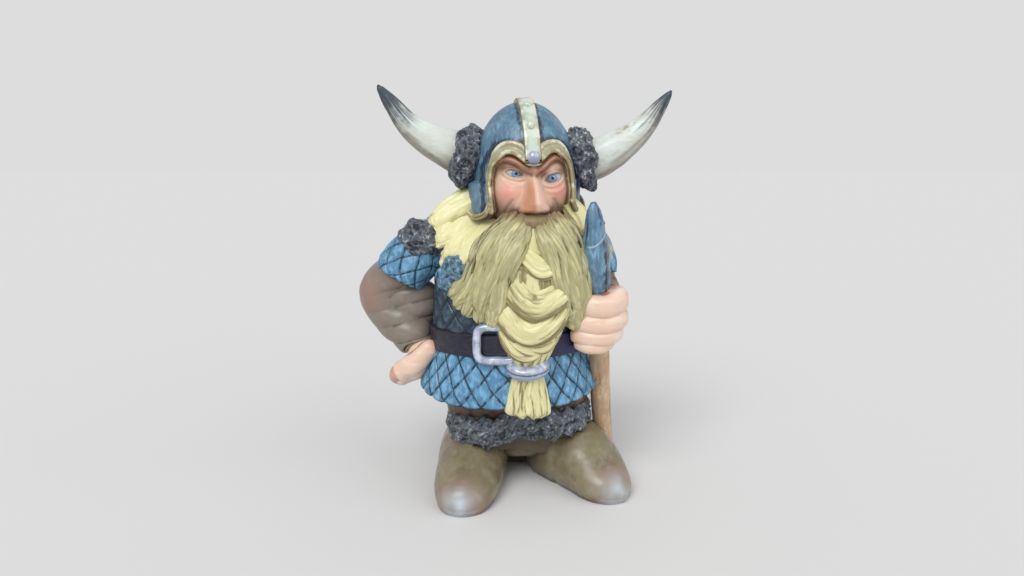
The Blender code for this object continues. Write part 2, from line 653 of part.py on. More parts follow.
def hair():
    """Hair that falls from under the helmet over the right shoulder and down the back."""
    front = (
        ((-7.0, 0.0, 72.4), (-12.6, -3.4, 69.0), (-17.0, -5.8, 65.6), (-19.0, -6.4, 63.6)),
        ((-6.0, -3.0, 69.6), (-10.6, -7.0, 65.4), (-14.6, -9.2, 61.4), (-16.6, -9.8, 58.8)),
        ((-5.0, -6.0, 68.8), (-8.2, -10.2, 64.6), (-11.0, -12.2, 61.0), (-12.6, -12.6, 58.4)),
        ((-7.0, -1.0, 76.4), (-13.6, -2.4, 72.8), (-19.0, -3.2, 69.2), (-21.4, -3.6, 67.4)),
        ((-7.0, 1.0, 76.4), (-13.0, 2.0, 72.8), (-18.0, 2.6, 68.2), (-18.8, 2.8, 67.2)),
    )
    for k, lock in enumerate(front):
        strand(f"hair_front_{k}", lock, (2.4, 2.9, 2.2, 1.1), 6, 1)
    count = 9
    for k in range(count):
        angle = math.radians(12 + 156 * k / (count - 1))
        c, s = math.cos(angle), math.sin(angle)
        low = 54.0 + 2.2 * (k % 2)
        points = (
            (3.4 + 9.6 * c, 0.5 + 10.6 * s, 78.0),
            (3.0 + 11.6 * c, 1.0 + 12.4 * s, 70.0),
            (1.6 + 13.8 * c, 1.4 + 13.0 * s, 61.0),
            (1.4 + 14.2 * c, 1.4 + 13.2 * s, low),
        )
        strand(f"hair_back_{k}", points, (2.6, 3.0, 2.5, 1.0), 7, 1)
    strand(
        "hair_left",
        ((14.0, -6.4, 74.0), (17.0, -7.0, 69.0), (18.2, -8.6, 60.0), (18.2, -8.8, 54.0)),
        (2.0, 2.7, 2.4, 1.2),
        6,
        1,
    )


def fur_collar():
    """Tufts of fur on the shoulders and at the breast, along the tunic's neck edge."""
    fur("fur_shoulder_right", (-23.2, -3.4, 64.6), (5.6, 5.0, 4.8), (0, 30, 0), 6, 0.16)
    fur("fur_breast", (-13.2, -12.6, 56.6), (3.6, 3.0, 4.8), (0, 25, 0), 6, 0.16)
    fur("fur_back_right", (-18.8, 6.6, 65.6), (5.6, 5.0, 4.2), (0, 20, 0), 6, 0.16)
    fur("fur_back_left", (17.2, 7.8, 64.6), (5.4, 5.0, 4.2), (0, -20, 0), 6, 0.16)
    fur("fur_shoulder_left", (19.6, 0.6, 66.4), (4.4, 5.0, 3.8), (0, -35, 0), 6, 0.16)


def join_all(parts):
    """One skin round all the overlapping forms, as the mould would take it, with small gaps inside filled."""
    shape = bmesh.new()
    for part in parts:
        shape.from_mesh(part.data)
        bpy.data.objects.remove(part)
    mesh = bpy.data.meshes.new("viking_figure")
    shape.to_mesh(mesh)
    shape.free()
    cast = bpy.data.objects.new("viking_figure", mesh)
    figure.objects.link(cast)
    skin = cast.modifiers.new("skin", "REMESH")
    skin.mode = "VOXEL"
    skin.voxel_size = CASTING_GRAIN
    skin.adaptivity = 0
    graph = bpy.context.evaluated_depsgraph_get()
    cast.data = bpy.data.meshes.new_from_object(cast.evaluated_get(graph))
    cast.modifiers.clear()
    return cast


def cut(obj, cutter):
    """Takes a cutter's volume out of a form."""
    difference = obj.modifiers.new("cut", "BOOLEAN")
    difference.operation = "DIFFERENCE"
    difference.object = cutter
    difference.solver = "EXACT"
    graph = bpy.context.evaluated_depsgraph_get()
    obj.data = bpy.data.meshes.new_from_object(obj.evaluated_get(graph))
    obj.modifiers.clear()
    bpy.data.objects.remove(cutter)


def simplify(obj, triangles):
    """Merges the smallest facets until the solid is down to a number of triangles."""
    obj.data.calc_loop_triangles()
    have = len(obj.data.loop_triangles)
    if have <= triangles:
        return
    fewer = obj.modifiers.new("fewer", "DECIMATE")
    fewer.decimate_type = "COLLAPSE"
    fewer.ratio = triangles / have
    fewer.use_collapse_triangulate = True
    graph = bpy.context.evaluated_depsgraph_get()
    obj.data = bpy.data.meshes.new_from_object(obj.evaluated_get(graph))
    obj.modifiers.clear()


def main():
    clear_scene()
    tunic()
    belt()
    legs()
    boots()
    cuff()
    hip_arm()
    axe_arm()
    axe()
    dome, _ = helmet()
    cutter = face()
    cut(dome, cutter)
    trim()
    horns()
    moustache()
    beard()
    hair()
    fur_collar()
    cast = join_all(list(forms.objects))
    simplify(cast, 9700)
    shape = bmesh.new()
    bmesh.ops.create_cube(shape, size=1)
    place = Matrix.Translation((0, 0, -10)) @ Matrix.Diagonal((120, 120, 20, 1))
    bmesh.ops.transform(shape, matrix=place, verts=shape.verts)
    cut(cast, keep_bmesh("floor", shape))
    cast.data.transform(Matrix.Translation((-HEEL_WEB[0] * UNIT, -HEEL_WEB[1] * UNIT, 0)))
    paint = bpy.data.materials.new("painted_resin")
    paint.use_nodes = True
    shader = paint.node_tree.nodes["Principled BSDF"]
    shader.inputs["Base Color"].default_value = (0.30, 0.31, 0.27, 1)
    shader.inputs["Roughness"].default_value = 0.45
    cast.data.materials.clear()
    cast.data.materials.append(paint)
    cast.data.shade_smooth()
    cast.data.set_sharp_from_angle(angle=math.radians(40))


main()
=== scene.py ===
"""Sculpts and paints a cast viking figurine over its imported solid.

Every place is in hundredths of the figure's height, as in the solid it dresses, with the
figure facing -Y. A finished piece is moved onto the frame's origin, on the web between the heels.
"""

import math

import bpy
import numpy as np
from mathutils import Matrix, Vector


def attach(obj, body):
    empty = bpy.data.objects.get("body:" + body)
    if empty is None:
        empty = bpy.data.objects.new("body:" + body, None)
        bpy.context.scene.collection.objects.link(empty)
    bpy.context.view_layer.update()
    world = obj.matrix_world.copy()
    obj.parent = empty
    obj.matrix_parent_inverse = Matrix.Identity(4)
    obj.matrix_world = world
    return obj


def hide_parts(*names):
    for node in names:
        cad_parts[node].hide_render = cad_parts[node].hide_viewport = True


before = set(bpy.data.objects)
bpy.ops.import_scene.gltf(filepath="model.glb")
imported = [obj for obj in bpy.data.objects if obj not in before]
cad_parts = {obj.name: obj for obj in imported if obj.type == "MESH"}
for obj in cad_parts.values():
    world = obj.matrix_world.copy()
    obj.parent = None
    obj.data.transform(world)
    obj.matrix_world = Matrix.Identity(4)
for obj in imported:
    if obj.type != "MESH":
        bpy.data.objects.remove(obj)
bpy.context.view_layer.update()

bl_info = {
    "name": "Painted Viking Figurine",
    "version": (1, 0, 0),
    "blender": (4, 5, 0),
    "location": "View3D > Sidebar > Figurine",
    "description": "Sculpts and paints a cast viking figurine over its packed solid",
    "category": "Object",
}

NODE = "viking_figure"
FIGURE_HEIGHT = 0.22
UNIT = FIGURE_HEIGHT / 100
HEEL_WEB = np.array([1.0, 10.0, 0.0])
HEAD_CENTRE = np.array([3.4, 0.5, 80.0])
HEAD_TURN = math.radians(7)
HEAD_LEAN = math.radians(-2)
DOME = (13.3, 14.7, 19.0)
WAIST = (-0.8, -0.8, 19.8, 16.0)
BELT_MIDDLE = 39.6
HEM_LOW = 23.8
HEM_RISE = 2.8

turn_matrix = np.array(
    [
        [math.cos(HEAD_TURN), -math.sin(HEAD_TURN), 0],
        [math.sin(HEAD_TURN), math.cos(HEAD_TURN), 0],
        [0, 0, 1],
    ]
)
lean_matrix = np.array(
    [
        [math.cos(HEAD_LEAN), 0, math.sin(HEAD_LEAN)],
        [0, 1, 0],
        [-math.sin(HEAD_LEAN), 0, math.cos(HEAD_LEAN)],
    ]
)
HEAD = turn_matrix @ lean_matrix


# Sculpting in numbers


def on_head(points):
    """Points of the head's own frame, with its face towards -Y, in the figure's frame."""
    return np.asarray(points, float) @ HEAD.T + HEAD_CENTRE


def smooth_path(points, count):
    """Rows spaced along a Catmull-Rom curve through the given rows, whatever their number of columns."""
    p = np.array(points, float)
    p = np.vstack([2 * p[0] - p[1], p, 2 * p[-1] - p[-2]])
    spans = len(p) - 3
    t = np.linspace(0, spans, count)
    i = np.minimum(t.astype(int), spans - 1)
    s = (t - i)[:, None]
    a, b, c, d = p[i], p[i + 1], p[i + 2], p[i + 3]
    return 0.5 * (2 * b + (c - a) * s + (2 * a - 5 * b + 4 * c - d) * s**2 + (3 * b - a - 3 * c + d) * s**3)


def noise(points, size, seed=0):
    """Smooth noise from -1 to 1 with lumps of about that size."""
    q = np.asarray(points, float) / size + seed * 17.31
    cell = np.floor(q).astype(np.int64)
    f = q - cell
    f = f * f * (3 - 2 * f)
    total = np.zeros(len(q))
    for corner in range(8):
        dx, dy, dz = corner & 1, corner >> 1 & 1, corner >> 2 & 1
        h = (
            (cell[:, 0] + dx) * 73856093 ^ (cell[:, 1] + dy) * 19349663 ^ (cell[:, 2] + dz) * 83492791
        ) & 0x7FFFFFFF
        h = (h ^ h >> 13) * 1274126177 & 0x7FFFFFFF
        h = (h ^ h >> 16) * 668265263 & 0x7FFFFFFF
        value = (h >> 7 & 0xFFFF) / 32767.5 - 1
        wx = f[:, 0] if dx else 1 - f[:, 0]
        wy = f[:, 1] if dy else 1 - f[:, 1]
        wz = f[:, 2] if dz else 1 - f[:, 2]
        total += value * wx * wy * wz
    return total


def layered(points, size, seed=0, layers=3):
    """Noise with finer and finer lumps on top."""
    return sum(noise(points, size / 2**k, seed + k) / 2**k for k in range(layers)) / 1.6


def step_up(value, low, high):
    """0 below low, 1 above high and smooth in between."""
    s = np.clip((value - low) / (high - low), 0, 1)
    return s * s * (3 - 2 * s)


def hump(value, width):
    """1 at zero, falling off in a bell."""
    return np.exp(-((value / width) ** 2))


def line_distance(x, z, path):
    """Distance from each place to a drawn line, in the plane of x and z."""
    best = np.full(len(x), 1e9)
    for (ax, az), (bx, bz) in zip(path[:-1], path[1:]):
        dx, dz = bx - ax, bz - az
        s = np.clip(((x - ax) * dx + (z - az) * dz) / (dx * dx + dz * dz), 0, 1)
        best = np.minimum(best, np.hypot(x - ax - s * dx, z - az - s * dz))
    return best


def inside_outline(x, z, outline):
    """Signed distance to a closed outline, positive inside."""
    closed = list(outline) + [outline[0]]
    inside = np.zeros(len(x), bool)
    for (ax, az), (bx, bz) in zip(closed[:-1], closed[1:]):
        crosses = (az > z) != (bz > z)
        with np.errstate(divide="ignore", invalid="ignore"):
            inside ^= crosses & (x < (bx - ax) * (z - az) / (bz - az if bz != az else 1e-9) + ax)
    distance = line_distance(x, z, closed)
    return np.where(inside, distance, -distance)


def unit(vectors):
    return vectors / np.maximum(np.linalg.norm(vectors, axis=1, keepdims=True), 1e-9)


# Meshes


def ball(name, around, along):
    """A ball added at the origin; each vertex's turn about Z and its rise from pole to pole."""
    bpy.ops.object.select_all(action="DESELECT")
    bpy.ops.mesh.primitive_uv_sphere_add(segments=around, ring_count=along, radius=1, location=(0, 0, 0))
    obj = bpy.context.object
    obj.name = name
    obj.data.name = name
    co = np.empty(len(obj.data.vertices) * 3)
    obj.data.vertices.foreach_get("co", co)
    co = co.reshape(-1, 3)
    turn = np.arctan2(co[:, 1], co[:, 0])
    rise = 1 - np.arccos(np.clip(co[:, 2], -1, 1)) / math.pi
    return obj, turn, rise


def directions(turn, rise):
    """Each point's direction from the middle of its ball."""
    polar = np.pi * (1 - rise)
    return np.stack([np.sin(polar) * np.cos(turn), np.sin(polar) * np.sin(turn), np.cos(polar)], axis=1)


def oval(turn, power):
    """Cosine and sine of a turn, pushed out towards a rounded rectangle."""
    c, s = np.cos(turn), np.sin(turn)
    return np.sign(c) * np.abs(c) ** (2 / power), np.sign(s) * np.abs(s) ** (2 / power)


def split_rise(rise, along, low_bulge, high_bulge):
    """Turns a rise into a place along a form, how far the ring has closed, and how far its end stands out."""
    low = max(2.0, 0.14 * along) if low_bulge else 2.0
    high = max(2.0, 0.14 * along) if high_bulge else 2.0
    row = rise * along
    place = np.clip((row - low) / (along - low - high), 0, 1)
    near_low = np.clip(row / low, 0, 1)
    near_high = np.clip((along - row) / high, 0, 1)
    close = np.sin(np.pi / 2 * np.minimum(near_low, near_high))
    stand = high_bulge * np.cos(np.pi / 2 * near_high) - low_bulge * np.cos(np.pi / 2 * near_low)
    return place, close, stand


def sweep(name, rows, around, along, facing=(0, 0, 1), ends=(0, 0), power=2.0):
    """A ball drawn out along a smooth spine. Each row is x, y, z, half width and half height."""
    obj, turn, rise = ball(name, around, along)
    place, close, stand = split_rise(rise, along, *ends)
    path = smooth_path(rows, 240)
    heading = unit(np.gradient(path[:, :3], axis=0))
    at = place * (len(path) - 1)
    values = np.array([np.interp(at, np.arange(len(path)), column) for column in path.T]).T
    ahead = unit(np.array([np.interp(at, np.arange(len(path)), column) for column in heading.T]).T)
    if np.ndim(facing) > 1:
        outward = smooth_path(facing, 240)
        up = np.array([np.interp(at, np.arange(len(path)), column) for column in outward.T]).T
    else:
        up = np.tile(np.array(facing, float), (len(at), 1))
    across = unit(np.cross(up, ahead))
    up = np.cross(ahead, across)
    c, s = oval(turn, power)
    half = values[:, 3:4] * close[:, None]
    tall = values[:, 4:5] * close[:, None]
    reach = np.minimum(values[:, 3], values[:, 4])[:, None] * stand[:, None]
    points = values[:, :3] + across * half * c[:, None] + up * tall * s[:, None] + ahead * reach
    return obj, points, turn, place


def stack(name, rows, around, along, power=2.2):
    """A ball shaped by level ovals. Each row is height, centre x, centre y, half width and half depth."""
    obj, turn, rise = ball(name, around, along)
    place, close, _ = split_rise(rise, along, 0, 0)
    path = smooth_path(rows, 240)
    at = place * (len(path) - 1)
    z, x, y, half, deep = (np.interp(at, np.arange(len(path)), column) for column in path.T)
    c, s = oval(turn, power)
    points = np.stack([x + half * c * close, y + deep * s * close, z], axis=1)
    return obj, points, turn, place


def lump(name, centre, radii, around, along, turned=(0, 0, 0)):
    """A ball stretched to an egg and turned by three angles in degrees."""
    obj, turn, rise = ball(name, around, along)
    sphere = directions(turn, rise)
    ax, ay, az = (math.radians(a) for a in turned)
    rx = np.array([[1, 0, 0], [0, math.cos(ax), -math.sin(ax)], [0, math.sin(ax), math.cos(ax)]])
    ry = np.array([[math.cos(ay), 0, math.sin(ay)], [0, 1, 0], [-math.sin(ay), 0, math.cos(ay)]])
    rz = np.array([[math.cos(az), -math.sin(az), 0], [math.sin(az), math.cos(az), 0], [0, 0, 1]])
    points = (sphere * np.array(radii)) @ (rz @ ry @ rx).T + np.array(centre)
    return obj, points, sphere, (rz @ ry @ rx)


def normals_of(obj, points):
    obj.data.vertices.foreach_set("co", points.ravel())
    obj.data.update()
    normals = np.empty(len(points) * 3)
    obj.data.vertex_normals.foreach_get("vector", normals)
    return normals.reshape(-1, 3)


def carve(obj, points, relief=None, **masks):
    """Raises the surface along its normals and stores the masks that its paint reads."""
    if relief is not None:
        points = points + normals_of(obj, points) * relief[:, None]
    obj.data.vertices.foreach_set("co", ((points - HEEL_WEB) * UNIT).ravel())
    obj.data.update()
    for name, values in masks.items():
        attribute = obj.data.attributes.new(name, "FLOAT", "POINT")
        attribute.data.foreach_set(
            "value", np.clip(np.broadcast_to(values, len(points)), 0, 1).astype(np.float32)
        )
    return points


def store_flow(obj, turn, radius, along):
    """Keeps each point's place on the straightened lock, for strokes that follow the strands."""
    flow = np.column_stack([np.cos(turn) * radius, np.sin(turn) * radius, along]) * UNIT
    attribute = obj.data.attributes.new("flow", "FLOAT_VECTOR", "POINT")
    attribute.data.foreach_set("vector", flow.astype(np.float32).ravel())


def finish_group(name, objects, material):
    """Joins like pieces into one, smooth and painted, that stands for the solid."""
    bpy.ops.object.select_all(action="DESELECT")
    for obj in objects:
        obj.select_set(True)
    bpy.context.view_layer.objects.active = objects[0]
    if len(objects) > 1:
        bpy.ops.object.join()
    obj = bpy.context.view_layer.objects.active
    obj.name = name
    obj.data.name = name
    bpy.ops.object.shade_smooth()
    obj.data.materials.clear()
    obj.data.materials.append(material)
    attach(obj, "root")
    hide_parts(NODE)
    return obj


# Paint


def add_node(tree, kind, at, **values):
    node = tree.nodes.new(kind)
    node.location = (at[0] * 190, -at[1] * 170)
    for key, value in values.items():
        setattr(node, key, value)
    return node


def mix_colour(tree, at, factor, first, second, blend="MIX"):
    """A colour mix whose three inputs are sockets or plain values."""
    node = add_node(tree, "ShaderNodeMix", at, data_type="RGBA", blend_type=blend)
    for index, value in ((0, factor), (6, first), (7, second)):
        if isinstance(value, bpy.types.NodeSocket):
            tree.links.new(value, node.inputs[index])
        else:
            node.inputs[index].default_value = value
    return node.outputs[2]


def number(tree, at, operation, first, second=0.0, clamp=False):
    node = add_node(tree, "ShaderNodeMath", at, operation=operation, use_clamp=clamp)
    for index, value in enumerate((first, second)):
        if isinstance(value, bpy.types.NodeSocket):
            tree.links.new(value, node.inputs[index])
        else:
            node.inputs[index].default_value = value
    return node.outputs[0]


def ranged(tree, at, value, low, high, to_low=0.0, to_high=1.0, smooth=True):
    node = add_node(tree, "ShaderNodeMapRange", at, interpolation_type="SMOOTHSTEP" if smooth else "LINEAR")
    tree.links.new(value, node.inputs["Value"])
    for key, setting in (("From Min", low), ("From Max", high), ("To Min", to_low), ("To Max", to_high)):
        node.inputs[key].default_value = setting
    return node.outputs["Result"]


def new_group(name, inputs, outputs):
    tree = bpy.data.node_groups.new(name, "ShaderNodeTree")
    for label, kind, default in inputs:
        socket = tree.interface.new_socket(name=label, in_out="INPUT", socket_type=kind)
        if default is not None:
            socket.default_value = default
    for label, kind in outputs:
        tree.interface.new_socket(name=label, in_out="OUTPUT", socket_type=kind)
    return tree, add_node(tree, "NodeGroupInput", (-4, 0)), add_node(tree, "NodeGroupOutput", (6, 0))


def brush_group():
    """Long thin strokes of a loaded brush: a mask and a height."""
    tree, given, out = new_group(
        "Brush strokes",
        (
            ("Vector", "NodeSocketVector", None), ("Stroke", "NodeSocketVector", (1, 1, 1)),
            ("Scale", "NodeSocketFloat", 400.0)
        ),
        (("Strokes", "NodeSocketFloat"), ("Blotches", "NodeSocketFloat"), ("Height", "NodeSocketFloat")),
    )
    stretch = add_node(tree, "ShaderNodeVectorMath", (-3, 0), operation="MULTIPLY")
    tree.links.new(given.outputs["Vector"], stretch.inputs[0])
    tree.links.new(given.outputs["Stroke"], stretch.inputs[1])
    fine = add_node(tree, "ShaderNodeTexNoise", (-2, 0))
    fine.inputs["Detail"].default_value = 4
    fine.inputs["Roughness"].default_value = 0.6
    fine.inputs["Distortion"].default_value = 0.4
    tree.links.new(stretch.outputs[0], fine.inputs["Vector"])
    tree.links.new(given.outputs["Scale"], fine.inputs["Scale"])
    broad = add_node(tree, "ShaderNodeTexNoise", (-2, 2))
    broad.inputs["Detail"].default_value = 3
    broad.inputs["Scale"].default_value = 75
    tree.links.new(given.outputs["Vector"], broad.inputs["Vector"])
    tree.links.new(ranged(tree, (0, 0), fine.outputs["Fac"], 0.42, 0.66), out.inputs["Strokes"])
    tree.links.new(ranged(tree, (0, 2), broad.outputs["Fac"], 0.36, 0.64), out.inputs["Blotches"])
    tree.links.new(fine.outputs["Fac"], out.inputs["Height"])
    return tree


def wash_group():
    """Thin dark paint left in the hollows, and light paint dragged over the crests. Where a piece lowers its
    crest beside a neighbouring part, this dark paint is painted shade.
    """
    tree, given, out = new_group(
        "Wash and dry brush",
        (
            ("Base", "NodeSocketColor", (0.5, 0.5, 0.5, 1)),
            ("Wash", "NodeSocketColor", (0.1, 0.1, 0.1, 1)),
            ("Light", "NodeSocketColor", (0.8, 0.8, 0.8, 1)),
            ("Crest", "NodeSocketFloat", 0.5),
            ("Strokes", "NodeSocketFloat", 0.5),
            ("Washed", "NodeSocketFloat", 1.0),
            ("Dragged", "NodeSocketFloat", 1.0),
        ),
        (("Color", "NodeSocketColor"), ("Hollow", "NodeSocketFloat")),
    )
    ragged = number(tree, (-3, 2), "MULTIPLY_ADD", given.outputs["Strokes"], 0.3)
    tree.links.new(given.outputs["Crest"], ragged.node.inputs[2])
    hollow = ranged(tree, (-2, 1), ragged, 0.12, 0.62, 1.0, 0.0)
    washed = number(tree, (-1, 1), "MULTIPLY", hollow, given.outputs["Washed"], True)
    crest = ranged(tree, (-2, 3), ragged, 0.86, 1.22)
    dragged = number(tree, (-1, 3), "MULTIPLY", crest, given.outputs["Dragged"], True)
    dark = mix_colour(tree, (1, 0), washed, given.outputs["Base"], given.outputs["Wash"])
    both = mix_colour(tree, (3, 0), dragged, dark, given.outputs["Light"])
    tree.links.new(both, out.inputs["Color"])
    tree.links.new(hollow, out.inputs["Hollow"])
    return tree


def grain_group():
    """The slight unevenness of a cast surface under paint."""
    tree, given, out = new_group(
        "Cast grain",
        (("Vector", "NodeSocketVector", None), ("Brush", "NodeSocketFloat", 0.5)),
        (("Height", "NodeSocketFloat"),),
    )
    grain = add_node(tree, "ShaderNodeTexNoise", (-2, 0))
    grain.inputs["Scale"].default_value = 900
    grain.inputs["Detail"].default_value = 5
    tree.links.new(given.outputs["Vector"], grain.inputs["Vector"])
    dents = add_node(tree, "ShaderNodeTexNoise", (-2, 2))
    dents.inputs["Scale"].default_value = 210
    dents.inputs["Detail"].default_value = 2
    tree.links.new(given.outputs["Vector"], dents.inputs["Vector"])
    first = number(tree, (0, 0), "MULTIPLY_ADD", grain.outputs["Fac"], 0.25)
    tree.links.new(dents.outputs["Fac"], first.node.inputs[2])
    second = number(tree, (2, 0), "MULTIPLY_ADD", given.outputs["Brush"], 0.6)
    tree.links.new(first, second.node.inputs[2])
    tree.links.new(second, out.inputs["Height"])
    return tree


def shared(name, build):
    return bpy.data.node_groups.get(name) or build()


def rgba(colour):
    return (*colour[:3], 1.0)


def painted(
    name, base, wash, light, second=None, stroke=(1, 1, 1), scale=420, rough=(0.42, 0.6), washed=1.0,
    dragged=0.7, streak=0.45, bump=0.00025, metal=0.0, coat=0.0, flow=False, extra=None
):
    """A hand-painted finish: streaked base, dark wash, dragged highlights, cast grain.

    extra takes the tree, the colour socket and the object-space vector, and returns a new colour socket.
    """
    material = bpy.data.materials.new(name)
    material.use_nodes = True
    tree = material.node_tree
    shader = tree.nodes["Principled BSDF"]
    shader.location = (1500, 0)
    tree.nodes["Material Output"].location = (1800, 0)
    where = add_node(tree, "ShaderNodeTexCoord", (-6, 1)).outputs["Object"]
    crest = add_node(tree, "ShaderNodeAttribute", (-6, 3), attribute_name="crest").outputs["Fac"]
    brush = add_node(tree, "ShaderNodeGroup", (-4, 1), node_tree=shared("Brush strokes", brush_group))
    brush.inputs["Stroke"].default_value = stroke
    brush.inputs["Scale"].default_value = scale
    strokes_on = add_node(
        tree, "ShaderNodeAttribute", (-6, 5), attribute_name="flow"
    ).outputs["Vector"] if flow else where
    tree.links.new(strokes_on, brush.inputs["Vector"])
    amount = number(tree, (-2, 0), "MULTIPLY", brush.outputs["Strokes"], streak)
    streaked = mix_colour(tree, (-1, 0), amount, rgba(base), rgba(light))
    toned = mix_colour(tree, (0, 1), brush.outputs["Blotches"], streaked, rgba(second or base))
    toned = mix_colour(tree, (1, 1), 0.5, streaked, toned)
    wash_node = add_node(tree, "ShaderNodeGroup", (2, 1), node_tree=shared("Wash and dry brush", wash_group))
    wash_node.inputs["Wash"].default_value = rgba(wash)
    wash_node.inputs["Light"].default_value = rgba(light)
    wash_node.inputs["Washed"].default_value = washed
    wash_node.inputs["Dragged"].default_value = dragged
    tree.links.new(toned, wash_node.inputs["Base"])
    tree.links.new(crest, wash_node.inputs["Crest"])
    tree.links.new(brush.outputs["Strokes"], wash_node.inputs["Strokes"])
    colour = wash_node.outputs["Color"]
    if extra:
        colour = extra(tree, colour, where, brush)
    tree.links.new(colour, shader.inputs["Base Color"])
    rough_value = ranged(tree, (4, 2), brush.outputs["Blotches"], 0.0, 1.0, rough[0], rough[1], False)
    tree.links.new(rough_value, shader.inputs["Roughness"])
    grain = add_node(tree, "ShaderNodeGroup", (2, 4), node_tree=shared("Cast grain", grain_group))
    tree.links.new(where, grain.inputs["Vector"])
    tree.links.new(brush.outputs["Height"], grain.inputs["Brush"])
    dent = add_node(tree, "ShaderNodeBump", (5, 4))
    dent.inputs["Strength"].default_value = 0.55
    dent.inputs["Distance"].default_value = bump
    tree.links.new(grain.outputs["Height"], dent.inputs["Height"])
    tree.links.new(dent.outputs["Normal"], shader.inputs["Normal"])
    shader.inputs["Metallic"].default_value = metal
    shader.inputs["Coat Weight"].default_value = coat
    shader.inputs["Coat Roughness"].default_value = 0.3
    shader.inputs["IOR"].default_value = 1.48
    return material


def mask_colour(name, colour, strength=1.0):
    """An extra step for painted(): a colour laid on where a stored mask says so."""

    def lay(tree, under, where, brush):
        mask = add_node(tree, "ShaderNodeAttribute", (3, 5), attribute_name=name).outputs["Fac"]
        amount = number(tree, (4, 5), "MULTIPLY", mask, strength, True)
        return mix_colour(tree, (5, 1), amount, under, rgba(colour))

    return lay


def mask_colours(*layers):
    """Several mask colours, one over another."""

    def lay(tree, under, where, brush):
        for k, (name, colour, strength) in enumerate(layers):
            mask = add_node(tree, "ShaderNodeAttribute", (3, 5 + k), attribute_name=name).outputs["Fac"]
            amount = number(tree, (4, 5 + k), "MULTIPLY", mask, strength, True)
            under = mix_colour(tree, (5 + k, 1), amount, under, rgba(colour))
        return under

    return lay


# Sizes and colours that a user would change


class FigureSizes(bpy.types.PropertyGroup):
    """Depths of the carving and the few true widths"""

    strand_depth: bpy.props.FloatProperty(
        name="Strand depth", description="How deep the fine grooves in the hair are cut", default=0.00042,
        min=0, unit="LENGTH"
    )
    lock_depth: bpy.props.FloatProperty(
        name="Lock depth", description="How far whole locks of hair swell from the mass", default=0.0008, min=0,
        unit="LENGTH"
    )
    fur_depth: bpy.props.FloatProperty(
        name="Fur depth", description="How far the curls of fur stand out", default=0.0011, min=0, unit="LENGTH"
    )
    quilt_depth: bpy.props.FloatProperty(
        name="Quilting depth", description="How deep the crossing grooves of the tunic are", default=0.001,
        min=0, unit="LENGTH"
    )
    haft_diameter: bpy.props.FloatProperty(
        name="Haft diameter", description="Thickness of the axe's haft", default=0.0115, min=0.004,
        unit="LENGTH"
    )
    belt_width: bpy.props.FloatProperty(
        name="Belt width", description="Height of the belt", default=0.0136, min=0.004, unit="LENGTH"
    )
    rim_width: bpy.props.FloatProperty(
        name="Rim width", description="Width of the helmet's raised rim at the cheeks", default=0.0042,
        min=0.001, unit="LENGTH"
    )


def colour_property(name, description, default):
    return bpy.props.FloatVectorProperty(
        name=name, description=description, default=default, size=3, min=0, max=1, subtype="COLOR"
    )


class FigureColours(bpy.types.PropertyGroup):
    """The paints, one for each kind of surface"""

    helmet_blue: colour_property("Helmet blue", "Paint of the helmet and the axe head", (0.12, 0.255, 0.36))
    tunic_blue: colour_property("Tunic blue", "Paint of the quilted skirt and sleeve cap", (0.10, 0.27, 0.44))
    shaded_vest_blue: colour_property("Vest blue", "Paint of the shaded quilting above the belt", (0.02, 0.042, 0.07))
    old_gold: colour_property("Old gold", "Paint of the helmet's rim and band", (0.40, 0.34, 0.19))
    silver: colour_property("Silver", "Paint of the studs, buckle and beard ring", (0.33, 0.38, 0.52))
    straw: colour_property("Straw", "Paint of the hair and beard", (0.84, 0.79, 0.42))
    skin: colour_property("Skin", "Paint of the face and hands", (0.86, 0.59, 0.45))
    ivory: colour_property("Ivory", "Paint of the horns", (0.72, 0.79, 0.76))
    charcoal: colour_property("Charcoal", "Paint of the fur", (0.068, 0.077, 0.098))
    sleeve: colour_property("Sleeve", "Paint of the full sleeves", (0.265, 0.225, 0.185))
    boot: colour_property("Boot", "Paint of the boots", (0.245, 0.21, 0.125))
    breeches: colour_property("Breeches", "Paint of the breeches", (0.085, 0.055, 0.036))
    belt: colour_property("Belt", "Paint of the belt", (0.012, 0.014, 0.022))
    wood: colour_property("Wood", "Paint of the haft", (0.56, 0.43, 0.28))


class PieceOperator:
    bl_options = {"REGISTER", "UNDO"}

    def execute(self, context):
        self.make(context.scene.figure_sizes, context.scene.figure_colours)
        return {"FINISHED"}


# Helmet


BROW_HALF = [(-9.9, -7.6), (-10.2, -1.5), (-9.3, 3.6), (-6.6, 7.2), (-3.2, 6.8), (-0.6, 3.6)]
RIM_LINE = BROW_HALF + [(-x, z) for x, z in reversed(BROW_HALF)]


def dome_y(x, z):
    """How far forward the dome's surface lies at a place in the head's frame."""
    share = 1 - (np.asarray(x) / DOME[0]) ** 2 - (np.maximum(z, 0) / DOME[2]) ** 2
    return -DOME[1] * np.sqrt(np.maximum(share, 0.02))


def dome_normal(points):
    return unit(points / np.array(DOME) ** 2)


def face_opening():
    """Outline of the opening for the face, closed below where the moustache hides it."""
    return list(smooth_path(RIM_LINE, 60)) + [(9.7, -15), (-9.7, -15)]


def guard_flare(x):
    """How far each cheek guard stands out past the dome, as a share of its half width."""
    return np.where(x < 0, 0.13, 0.06)


